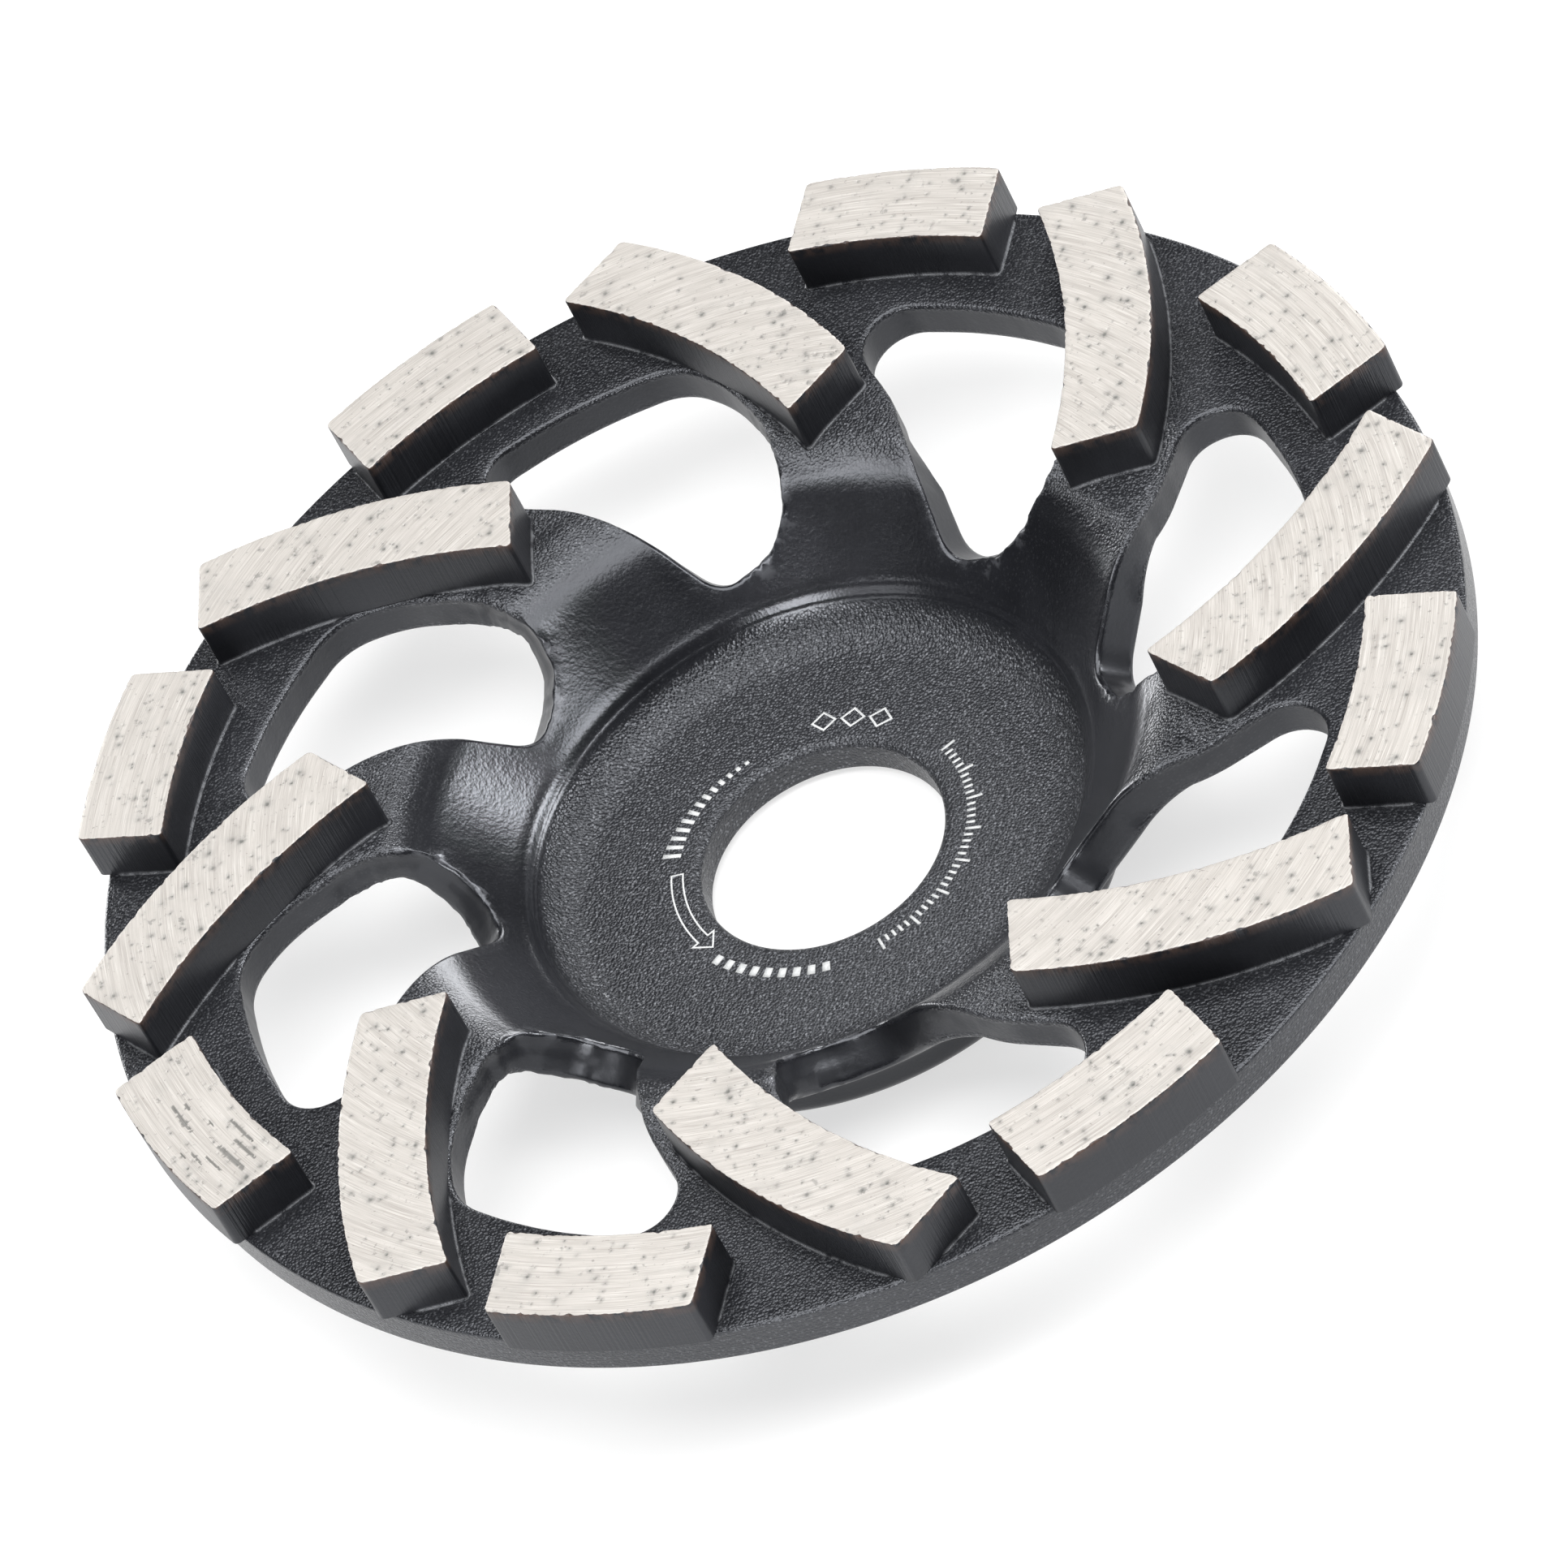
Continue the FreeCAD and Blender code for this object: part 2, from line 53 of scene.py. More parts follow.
# Sizes of the wheel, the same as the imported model's
WINDOWS = 8
PITCH = 360 / WINDOWS
BORE = 11.115
SHEET = 3.75
LAND = 16.0
RIM = 61.65
SLOPE = math.radians(45.9)
BEND = 9.0
WALL_TOP = 25.25
WALL_TOP_HEIGHT = 6.88
WALL_SLOPE = math.radians(62)
HOLLOW = 4.6
BOSS = 27.0
BOSS_ROUND = 1.5
BORE_BEVEL = 0.55
RIM_ROUND = 0.3
RIM_BEVEL = 0.3
GROUND = 21.0
GRIND_RADIUS = 62.5
BEND_X = WALL_TOP + (LAND - WALL_TOP_HEIGHT) / math.tan(SLOPE) + BEND * math.tan(SLOPE / 2)
BEND_Z = LAND - BEND

# One window's corners on the sheet's upper face: distance from the axis, angle, rounding
WINDOW_CORNERS = [
    (38.7286, 59.00, 14.0), (45.80, 64.05, 14.0), (49.86, 69.07, 6.0),
    (50.75, 79.86, 40.0), (50.90, 91.20, 3.7), (46.07, 93.40, 3.8),
    (39.7586, 86.77, 15.0), (27.60, 73.07, 3.4), (30.13, 57.04, 5.5),
]


# Plan and section

def polar(radius, degrees):
    """Plan points at a distance from the axis and an angle from X."""
    angle = np.radians(degrees)
    return np.stack([radius * np.cos(angle), radius * np.sin(angle)], -1)


def turned(points, degrees):
    """Points turned about the wheel's axis."""
    c, s = math.cos(math.radians(degrees)), math.sin(math.radians(degrees))
    out = np.array(points, float)
    out[:, 0] = points[:, 0] * c - points[:, 1] * s
    out[:, 1] = points[:, 0] * s + points[:, 1] * c
    return out


def lean_at(radius):
    """How far the sheet leans at a plan radius: 0 on the land, the full slope inside the bend."""
    return np.clip(np.arcsin(np.clip((BEND_X - radius) / BEND, -1, 1)), 0, SLOPE)


def on_sheet(plan, depth):
    """Points at a depth below the sheet's upper face, on its normal through each plan point."""
    radius = np.hypot(plan[:, 0], plan[:, 1])
    lean = lean_at(radius)
    height = BEND_Z + BEND * np.cos(lean)
    fall = (BEND_X - BEND * np.sin(lean) - radius) * math.tan(SLOPE)
    height = np.where(lean >= SLOPE, height - fall, height)
    outward = plan / radius[:, None]
    across = outward * (radius + depth * np.sin(lean))[:, None]
    return np.column_stack([across, height - depth * np.cos(lean)])


def unit(vectors):
    """Vectors made one long."""
    return vectors / np.linalg.norm(vectors, axis=-1, keepdims=True)


def run_along(points):
    """How far along a line of points each of them lies."""
    return np.concatenate([[0], np.cumsum(np.linalg.norm(np.diff(points, axis=0), axis=1))])


def window_loop(step):
    """One window's rounded outline, anticlockwise, and the plan directions away from the window."""
    corners = np.array([polar(radius, angle) for radius, angle, _ in WINDOW_CORNERS])
    count = len(corners)
    points, away, ends = [], [], []
    for place, (_, _, rounding) in enumerate(WINDOW_CORNERS):
        before = unit(corners[place - 1] - corners[place])
        after = unit(corners[(place + 1) % count] - corners[place])
        half = math.acos(float(before @ after)) / 2
        centre = corners[place] + unit(before + after) * (rounding / math.sin(half))
        start = corners[place] + before * (rounding / math.tan(half)) - centre
        finish = corners[place] + after * (rounding / math.tan(half)) - centre
        first = math.atan2(start[1], start[0])
        sweep = (math.atan2(finish[1], finish[0]) - first + math.pi) % (2 * math.pi) - math.pi
        turn = np.linspace(first, first + sweep, max(3, int(abs(sweep) * rounding / step) + 1))
        rim = np.stack([np.cos(turn), np.sin(turn)], -1)
        ends.append((centre + rim * rounding, rim * math.copysign(1, sweep)))
    for place in range(count):
        arc, facing = ends[place]
        following = ends[(place + 1) % count][0][0]
        points.append(arc)
        away.append(facing)
        length = np.linalg.norm(following - arc[-1])
        share = np.linspace(0, 1, max(2, int(length / step) + 1) + 1)[1:-1, None]
        points.append(arc[-1] + (following - arc[-1]) * share)
        away.append(np.repeat(facing[-1:], len(share), 0))
    return np.concatenate(points), np.concatenate(away)


def nearest(points, loop):
    """Distance from each point to the nearest point of a loop."""
    best = np.zeros(len(points))
    for start in range(0, len(points), BLOCK):
        block = points[start:start + BLOCK]
        gap = np.linalg.norm(block[:, None] - loop[None], axis=2)
        best[start:start + BLOCK] = gap.min(1)
    return best


def inside(points, loop):
    """Whether each plan point lies inside a closed loop."""
    x, y = points[:, 0][:, None], points[:, 1][:, None]
    x0, y0 = loop[:, 0][None], loop[:, 1][None]
    x1, y1 = np.roll(loop[:, 0], -1)[None], np.roll(loop[:, 1], -1)[None]
    spans = (y0 > y) != (y1 > y)
    rise = np.where(y1 == y0, 1e-12, y1 - y0)
    return (spans & (x < (x1 - x0) * (y - y0) / rise + x0)).sum(1) % 2 == 1


def fill_plan(loops, spots):
    """Triangles over closed loops and loose spots; gives the plan points and the triangles."""
    points = np.concatenate(list(loops) + [spots]) if len(spots) else np.concatenate(loops)
    edges, start = [], 0
    for loop in loops:
        edges += [(start + i, start + (i + 1) % len(loop)) for i in range(len(loop))]
        start += len(loop)
    made = delaunay_2d_cdt([Vector(p) for p in points], edges, [], 0, 1e-6)
    plan, triangles = np.array([tuple(p) for p in made[0]]), np.array(made[2])
    a, b, c = (plan[triangles[:, i]] for i in range(3))
    u, v = b - a, c - a
    area = np.abs(u[:, 0] * v[:, 1] - u[:, 1] * v[:, 0])
    longest = np.maximum.reduce([(u ** 2).sum(1), (v ** 2).sum(1), ((c - b) ** 2).sum(1)])
    return plan, triangles[area > SLIVER * longest]


# Meshes

class Shell:
    """Points and faces gathered block by block, in millimetres, with named values on the points."""

    def __init__(self):
        self.points, self.faces, self.looks = [], [], []
        self.values = {}
        self.count = 0

    def add(self, points, faces, look=0, **values):
        """Adds a block; faces count from the block's first point."""
        faces = np.asarray(faces)
        self.points.append(points)
        self.faces.append(faces + self.count)
        self.looks.append(np.full(len(faces), look))
        for name in set(self.values) | set(values):
            rows = self.values.setdefault(name, [np.zeros(self.count)])
            rows.append(np.broadcast_to(values.get(name, 0.0), len(points)).astype(float))
        self.count += len(points)

    def mesh(self, name, weld=0.002):
        """The finished mesh, in metres, with points that meet welded and faces turned outwards."""
        mesh = bpy.data.meshes.new(name)
        points = np.concatenate(self.points) * MM
        faces = [face for block in self.faces for face in block.tolist()]
        mesh.from_pydata([tuple(p) for p in points], [], faces)
        mesh.polygons.foreach_set("material_index", np.concatenate(self.looks).astype(np.int32))
        for key, rows in self.values.items():
            layer = mesh.attributes.new(key, "FLOAT", "POINT")
            layer.data.foreach_set("value", np.concatenate(rows).astype(np.float32))
        work = bmesh.new()
        work.from_mesh(mesh)
        bmesh.ops.remove_doubles(work, verts=work.verts, dist=weld * MM)
        bmesh.ops.recalc_face_normals(work, faces=work.faces)
        work.to_mesh(mesh)
        work.free()
        mesh.polygons.foreach_set("use_smooth", np.ones(len(mesh.polygons), bool))
        return mesh


def strip_faces(rows, columns, closed):
    """Quads between rows of points; closed joins the last column to the first."""
    faces = []
    for row in range(rows - 1):
        for column in range(columns if closed else columns - 1):
            nearer, further = row * columns, (row + 1) * columns
            after = (column + 1) % columns
            faces.append((nearer + column, nearer + after, further + after, further + column))
    return faces


def place_piece(name, mesh, materials, replaced=()):
    """Makes a piece of the wheel from a mesh."""
    piece = bpy.data.objects.new(name, mesh)
    bpy.context.scene.collection.objects.link(piece)
    for material in materials:
        mesh.materials.append(material)
    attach(piece, "root")
    if replaced:
        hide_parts(*replaced)


# Steel body

# Rounding of a window's edges, spacing of its outline's points, and how clear of them other points keep
EDGE = 0.42
OUTLINE_STEP = 0.42
CLEAR_OF_OUTLINE = 0.5

# The sheet is meshed as one sector for each window, between two rings that the hub and the rim share
SECTOR_START = 53.0
TURN_STEPS = 480
SPIN_STEP = 360 / TURN_STEPS
SECTOR_STEPS = TURN_STEPS // WINDOWS
HUB_LIMIT = 27.2
RIM_LIMIT = RIM - RIM_ROUND
RING_RADII = np.concatenate([
    np.arange(HUB_LIMIT, 31.2, 0.8), np.arange(31.4, 38.2, 0.62),
    np.arange(39.0, RIM_LIMIT - 0.5, 1.15), [RIM_LIMIT]])

# The soft crease where the slope ends: distance out from the wall's top, and depth below the slope
CREASE = ((0.9, -0.04), (0.7, -0.07), (0.5, -0.05), (0.3, 0.0), (0.15, 0.05), (0.0, 0.07))
# The rounding round the bore: its width and its depth
BORE_LIP = 1.0
BORE_LIP_DEPTH = 0.62

# Where the press tore the first window's outline: inside a distance from the axis, and before an angle
TORN_RADIUS = 43
TORN_RADIUS_FADE = 4
TORN_ANGLE = 70
TORN_ANGLE_FADE = 5
# How far along its outline the marks of one window start after the marks of the window before
MARKS_APART = 97


def surface_scale(points, directions):
    """How much longer a plan step is on the leaning sheet than it looks from above."""
    radial = (directions * unit(points)).sum(1)
    lean = lean_at(np.hypot(points[:, 0], points[:, 1]))
    return np.sqrt(1 - radial ** 2 + (radial / np.cos(lean)) ** 2)


def sector_plan(loop):
    """Triangles over one sector of the sheet, with its window left open."""
    start, finish = SECTOR_START, SECTOR_START + PITCH
    steps = np.arange(SECTOR_STEPS + 1) * SPIN_STEP + start
    border = np.concatenate([
        polar(RING_RADII, np.full(len(RING_RADII), start)),
        polar(RIM_LIMIT, steps[1:-1]),
        polar(RING_RADII[::-1], np.full(len(RING_RADII), finish)),
        polar(HUB_LIMIT, steps[1:-1][::-1])])
    spots = []
    for number, radius in enumerate(RING_RADII[1:-1]):
        offset = SPIN_STEP * (1 + number % 2)
        angles = np.arange(start + offset, finish - SPIN_STEP * 0.5, 2 * SPIN_STEP)
        spots.append(polar(radius, angles))
    spots = np.concatenate(spots)
    spots = spots[(nearest(spots, loop) > CLEAR_OF_OUTLINE) & ~inside(spots, loop)]
    plan, triangles = fill_plan([border, loop], spots)
    middles = plan[triangles].mean(1)
    radii = np.hypot(plan[:, 0], plan[:, 1])[triangles]
    solid = ~inside(middles, loop) & ~(radii < HUB_LIMIT + 1e-4).all(1)
    return plan, triangles[solid]


def arc_profile(x, z, radius, first, last, steps):
    """Section points on an arc, by its centre, radius and end angles in degrees."""
    return [(x + radius * math.cos(math.radians(a)), z + radius * math.sin(math.radians(a)))
            for a in np.linspace(first, last, steps)]


def hub_profile():
    """Section of the hub, from the sheet's upper face round the bore and back under the sheet."""
    slope_at = lambda x: WALL_TOP_HEIGHT + (x - WALL_TOP) * math.tan(SLOPE)
    profile = [(x, slope_at(x)) for x in (HUB_LIMIT, 26.8, 26.4)]
    for out, sink in CREASE:
        x = WALL_TOP + out
        profile.append((x + sink * math.sin(SLOPE), slope_at(x) - sink * math.cos(SLOPE)))
    foot = WALL_TOP - (WALL_TOP_HEIGHT - SHEET) / math.tan(WALL_SLOPE)
    hollow_x = foot - HOLLOW * math.tan(WALL_SLOPE / 2)
    for fall in (0.14, 0.36):
        profile.append((WALL_TOP - fall / math.tan(WALL_SLOPE), WALL_TOP_HEIGHT - fall))
    profile += arc_profile(hollow_x, SHEET + HOLLOW, HOLLOW, math.degrees(WALL_SLOPE) - 90, -90, 20)
    profile += [(x, SHEET) for x in np.linspace(hollow_x - 0.8, 13.2, 9)]
    for a in np.linspace(0, 90, 9):
        roll = math.radians(a)
        x = BORE + BORE_LIP * (1 - math.sin(roll))
        profile.append((x, SHEET - BORE_LIP_DEPTH * (1 - math.cos(roll))))
    profile += [(BORE, z) for z in (2.6, 2.0, 1.4, 0.9, BORE_BEVEL + 0.08)]
    profile += [(BORE + 0.03, BORE_BEVEL - 0.02), (BORE + BORE_BEVEL - 0.04, 0.02),
                (BORE + BORE_BEVEL + 0.08, 0)]
    profile += [(x, 0) for x in np.linspace(13, BOSS - BOSS_ROUND - 0.5, 8)]
    profile += arc_profile(BOSS - BOSS_ROUND, BOSS_ROUND, BOSS_ROUND, -90, 0, 8)
    under = lambda x: slope_at(x) - SHEET / math.cos(SLOPE)
    profile += [(BOSS, z) for z in np.linspace(BOSS_ROUND + 0.4, under(BOSS) - 0.25, 4)]
    profile += [(BOSS + 0.05, under(BOSS) - 0.02), (BOSS + 0.25, under(BOSS + 0.25))]
    end = HUB_LIMIT + SHEET * math.sin(SLOPE)
    profile += [(x, under(x)) for x in np.linspace(BOSS + 0.9, end, 5)]
    return profile


def rim_profile():
    """Section of the rim, from the land over its edge and back under."""
    low = LAND - SHEET
    profile = arc_profile(RIM - RIM_ROUND, LAND - RIM_ROUND, RIM_ROUND, 90, 0, 6)
    profile += [(RIM, z) for z in np.linspace(LAND - RIM_ROUND - 0.3, low + RIM_BEVEL + 0.25, 6)]
    profile += [(RIM, low + RIM_BEVEL + 0.04), (RIM - 0.03, low + RIM_BEVEL - 0.02),
                (RIM - RIM_BEVEL + 0.04, low + 0.02), (RIM - RIM_BEVEL, low)]
    return profile


def revolve(shell, profile):
    """A closed ring of faces with the profile as its section."""
    angles = SECTOR_START + np.arange(TURN_STEPS) * SPIN_STEP
    rows = [np.column_stack([polar(x, angles), np.full(TURN_STEPS, z)]) for x, z in profile]
    shell.add(np.concatenate(rows), strip_faces(len(rows), TURN_STEPS, True))


def window_rows():
    """Rows of a window's wall: how far outside its outline each lies, and how deep."""
    rows = []
    for a in np.linspace(0, 90, 6):
        turn = math.radians(a)
        rows.append((EDGE * (1 - math.sin(turn)), EDGE * (1 - math.cos(turn))))
    rows += [(0.0, depth) for depth in np.linspace(EDGE, SHEET - EDGE, 9)[1:-1]]
    rows += [(out, SHEET - depth) for out, depth in rows[5::-1]]
    return rows


def torn_zone(outline):
    """1 along the side of the first window that the press tore, near the hub, and 0 elsewhere."""
    radius = np.hypot(outline[:, 0], outline[:, 1])
    angle = np.degrees(np.arctan2(outline[:, 1], outline[:, 0]))
    near_hub = np.clip((TORN_RADIUS - radius) / TORN_RADIUS_FADE, 0, 1)
    return near_hub * np.clip((TORN_ANGLE - angle) / TORN_ANGLE_FADE, 0, 1)


def worn_edge(torn, along):
    """Width of a window's rounded edge: even, and ragged where the press tore it."""
    bites = [noise.noise((run * 1.1, 0.5, 3)) + noise.noise((run * 2.7, 1.5, 9)) for run in along]
    return EDGE * np.clip(1 + torn * (0.4 + 1.9 * np.array(bites)), 0.35, 2.3)


def ripple(points, torn, along, depth):
    """Shear marks on a window's wall, in millimetres into the window."""
    marks = []
    for (x, y), run in zip(points, along):
        coarse = noise.noise((run * 0.55, depth * 0.12, x * 0.02))
        fine = noise.noise((run * 1.9, depth * 0.3, 7 + y * 0.02))
        marks.append(0.26 * coarse + 0.14 * fine)
    shear = 0.07 * np.tanh((depth - 1.75) * 4)
    fade = min(1.0, depth / 0.5, (SHEET - depth) / 0.5)
    return fade * ((0.15 + 0.85 * torn) * np.array(marks) + torn * shear)


def make_body():
    """The pressed steel cup, with rounded window edges and sheared window walls."""
    shell = Shell()
    outline, away = window_loop(OUTLINE_STEP)
    scale = surface_scale(outline, away)[:, None]
    along = run_along(outline)
    torn = torn_zone(outline)
    worn = worn_edge(torn, along)
    loop = outline + away / scale * worn[:, None]
    plan, triangles = sector_plan(loop)
    rows = window_rows()
    for window in range(WINDOWS):
        turn = -window * PITCH
        sheet = turned(plan, turn)
        shell.add(on_sheet(sheet, 0.0), triangles)
        shell.add(on_sheet(sheet, SHEET), triangles[:, ::-1])
        points, facing = turned(outline, turn), turned(away, turn)
        blocks, burr, wall = [], [], []
        for number, (out, depth) in enumerate(rows):
            shift = out / EDGE * worn
            if 0 < number < len(rows) - 1:
                shift = shift - ripple(points, torn, along + MARKS_APART * window, depth)
            blocks.append(on_sheet(points + facing / scale * shift[:, None], depth))
            burr.append((0.25 + 0.75 * torn) * max(0.0, 1 - abs(depth - 0.12) / 0.3))
            wall.append(np.full(len(points), float(EDGE < depth < SHEET - EDGE)))
        shell.add(np.concatenate(blocks), strip_faces(len(rows), len(points), True),
                  edge=np.concatenate(burr), wall=np.concatenate(wall))
    revolve(shell, hub_profile())
    revolve(shell, rim_profile())
    return shell.mesh("steel_body_finished")


# Segments

# A short segment: half its length, and the distance from the axis to its inner side
SHORT_HALF = 9.3
SHORT_INNER = 54.4
# A long segment: half its length and width, the radius of its bowed sides, the distance and angle of its
# middle, and how far it leans from the radius there
LONG_HALF = 14.75
LONG_ACROSS = 3.95
LONG_BOW = 56.4
LONG_MIDDLE = 48.3
LONG_ANGLE = 90 - 26.3
LONG_SLANT = 40.8
# How far from a corner its easing starts
CORNER = 0.55
ARC_POINTS = 400
LINE_POINTS = 200


def arc_side(centre, radius, first, last):
    """A side that follows an arc, as closely spaced points; angles in degrees."""
    return np.array(centre) + polar(radius, np.linspace(first, last, ARC_POINTS))


def line_side(start, finish):
    """A straight side, as closely spaced points."""
    return start + (finish - start) * np.linspace(0, 1, LINE_POINTS)[:, None]


def short_sides():
    """Sides of the first short segment, end to end, anticlockwise from above."""
    outer = math.degrees(math.asin(SHORT_HALF / GRIND_RADIUS))
    inner = math.degrees(math.asin(SHORT_HALF / SHORT_INNER))
    bow_out = arc_side((0, 0), GRIND_RADIUS, 90 - outer, 90 + outer)
    bow_in = arc_side((0, 0), SHORT_INNER, 90 + inner, 90 - inner)
    return [bow_out, line_side(bow_out[-1], bow_in[0]), bow_in, line_side(bow_in[-1], bow_out[0])]


def long_sides():
    """Sides of the first long segment, whose outer end follows the grinding radius."""
    rise = math.sqrt(LONG_BOW ** 2 - LONG_HALF ** 2)
    spread = math.degrees(math.asin(LONG_HALF / LONG_BOW))
    leading = arc_side((0, rise - LONG_ACROSS), LONG_BOW, -90 - spread, -90 + spread)
    trailing = arc_side((0, rise + LONG_ACROSS), LONG_BOW, -90 + spread, -90 - spread)
    outer, inner = line_side(leading[-1], trailing[0]), line_side(trailing[-1], leading[0])
    sides = []
    for side in (leading, outer, trailing, inner):
        side = turned(side, LONG_ANGLE + LONG_SLANT) + polar(LONG_MIDDLE, LONG_ANGLE)
        radius = np.hypot(side[:, 0], side[:, 1])[:, None]
        sides.append(side * np.minimum(1, GRIND_RADIUS / radius))
    return sides


def rounded_loop(sides, corner, step):
    """A closed loop along the sides, with each corner eased over a short length."""
    runs = []
    for side in sides:
        reach = run_along(side)
        count = max(2, int(reach[-1] / step))
        wanted = np.linspace(corner, reach[-1] - corner, count)
        runs.append(np.column_stack([np.interp(wanted, reach, side[:, i]) for i in (0, 1)]))
    loop = []
    for place, run in enumerate(runs):
        following, corner_point = runs[(place + 1) % len(runs)], sides[place][-1]
        loop.append(run)
        t = np.linspace(0, 1, 7)[1:-1, None]
        loop.append((1 - t) ** 2 * run[-1] + 2 * t * (1 - t) * corner_point + t ** 2 * following[0])
    return np.concatenate(loop)


def outward(loop):
    """Directions square to an anticlockwise loop, pointing out of it."""
    along = np.roll(loop, -1, 0) - np.roll(loop, 1, 0)
    return unit(np.column_stack([along[:, 1], -along[:, 0]]))


def seat_height(plan):
    """Height of the sheet's upper face, carried on past its edges."""
    return on_sheet(plan, 0.0)[:, 2]


WINDOW_LOOPS = [turned(window_loop(0.4)[0], -window * PITCH) for window in range(WINDOWS)]
# How far inside the sheet's rounded edges the braze starts, and over what length it grows to its full size
SEAT_EDGE = 0.1
SEAT_FADE = 0.5


def sheet_below(points):
    """1 where the sheet's face lies well under a plan point, falling to 0 over its edges."""
    gap = RIM - RIM_ROUND - np.hypot(points[:, 0], points[:, 1])
    for loop in WINDOW_LOOPS:
        away = nearest(points, loop)
        gap = np.minimum(gap, np.where(inside(points, loop), -away, away))
    share = np.clip((gap - EDGE - SEAT_EDGE) / SEAT_FADE, 0, 1)
    return share * share * (3 - 2 * share)


def tangential(points):
    """Grinding direction at each plan point, round the axis."""
    return unit(np.column_stack([-points[:, 1], points[:, 0]]))


# Torn streaks on one short segment: distance from the axis, first and last angle, and width
TORN_SEGMENT = "short_segment_6"
TORN_STREAKS = [
    (59.0, 221.1, 225.6, 0.42), (55.85, 226.7, 230.8, 0.40), (58.15, 228.2, 232.6, 0.62),
    (56.8, 228.8, 232.5, 0.40), (59.55, 228.1, 230.9, 0.26), (60.25, 227.0, 229.0, 0.30),
    (58.0, 222.0, 223.1, 0.34), (60.9, 226.3, 227.3, 0.18), (57.3, 225.2, 226.4, 0.20),
]
TORN_DEPTH = 0.12

# Coarse and fine grains: how many to a square millimetre, and the least and greatest radius
GRAINS = ((0.12, 0.14, 0.27), (0.2, 0.05, 0.12))
# Least distance from one grain to the next, and from a grain to the face's edge
GRAIN_GAP = 0.12
GRAIN_TO_EDGE = 0.25
# Most grains are pits, and the rest stand proud by a share of a pit's depth
PITS = 0.8
PROUD = -0.25


class Grit:
    """Grains of one segment: where they lie, how wide, and how deep or high; and its torn streaks."""

    def __init__(self, loop, area, seed, torn):
        self.rng = random.Random(seed)
        self.torn = torn
        self.grains = []
        low, high = loop.min(0), loop.max(0)
        for per_area, smallest, largest in GRAINS:
            wanted = len(self.grains) + int(area * per_area)
            while len(self.grains) < wanted:
                x, y = self.rng.uniform(low[0], high[0]), self.rng.uniform(low[1], high[1])
                spot = np.array([[x, y]])
                radius = self.rng.uniform(smallest, largest)
                clear = all(math.dist(spot[0], other) > radius + size + GRAIN_GAP
                            for other, size, _, _ in self.grains)
                if clear and inside(spot, loop)[0] and nearest(spot, loop)[0] > radius + GRAIN_TO_EDGE:
                    sink = self.rng.uniform(0.03, 0.1) * (1 if self.rng.random() < PITS else PROUD)
                    self.grains.append((tuple(spot[0]), radius, sink, self.rng.uniform(0.3, 1.0)))

    def spots(self):
        """Points that let the mesh follow each grain and streak."""
        rings = []
        for radius, first, last, width in self.torn:
            for across in (-0.5, -0.2, 0.2, 0.5):
                count = int(radius * math.radians(last - first) / 0.14)
                rings.append(polar(radius + across * width, np.linspace(first, last, count)))
        for (x, y), radius, _, _ in self.grains:
            rings.append([(x, y)])
            for share, count in ((0.5, 6), (1.0, 10)):
                wobble = [radius * share * self.rng.uniform(0.85, 1.15) for _ in range(count)]
                rings.append([(x + w * math.cos(2 * math.pi * i / count + share),
                               y + w * math.sin(2 * math.pi * i / count + share))
                              for i, w in enumerate(wobble)])
        return np.concatenate([np.array(ring) for ring in rings])

    def relief(self, points):
        """Depth of the grains and streaks, how dark they are, and the smears round and behind them."""
        sink, dark, smear = (np.zeros(len(points)) for _ in range(3))
        along = tangential(points)
        distance = np.hypot(points[:, 0], points[:, 1])
        angle = np.degrees(np.arctan2(points[:, 1], points[:, 0])) % 360
        rough = np.array([noise.noise((x * 5, y * 5, 3)) for x, y in points])
        for radius, first, last, width in self.torn:
            share = np.clip((angle - first) / (last - first), 0, 1)
            half = width / 2 * np.sqrt(4 * share * (1 - share)) * (0.85 + 0.9 * rough) + 1e-6
            cut = np.clip(1 - (distance - radius) ** 2 / half ** 2, 0, 1)
            sink = np.maximum(sink, cut * TORN_DEPTH)
            dark = np.maximum(dark, np.clip(cut * 3, 0, 1))
        for (x, y), radius, depth, tone in self.grains:
            offset = points - (x, y)
            run = (offset * along).sum(1)
            side = np.abs(offset[:, 0] * along[:, 1] - offset[:, 1] * along[:, 0])
            gap = np.hypot(run, side) / radius
            bowl = depth * np.clip(1 - gap ** 2, 0, 1)
            sink = np.maximum(sink, bowl) if depth > 0 else sink + bowl
            dark = np.maximum(dark, tone * np.clip(1.3 - gap, 0, 1) * (1 + 0.6 * rough))
            behind = np.clip(1 + run / (radius * 6), 0, 1) * (run < 0)
            tail = behind * np.clip(1.1 - side / radius, 0, 1)
            halo = np.exp(-(gap / 1.9) ** 2) * np.clip(0.75 + rough, 0, 1)
            smear = np.maximum(smear, tone * np.maximum(tail * 0.7, halo * 0.8))
        return sink, dark, smear


def top_spots(loop, spacing, rng):
    """A slightly uneven grid of points inside a loop."""
    low, high = loop.min(0), loop.max(0)
    rows = []
    for number, y in enumerate(np.arange(low[1], high[1], spacing * 0.87)):
        xs = np.arange(low[0] + (number % 2) * spacing / 2, high[0], spacing)
        rows.append(np.column_stack([xs, np.full(len(xs), y)]))
    grid = np.concatenate(rows)
    grid += np.array([[rng.uniform(-1, 1), rng.uniform(-1, 1)] for _ in grid]) * spacing * 0.18
    return grid[inside(grid, loop) & (nearest(grid, loop) > spacing * 0.6)]


POINTS_TO_A_CHIP = 16


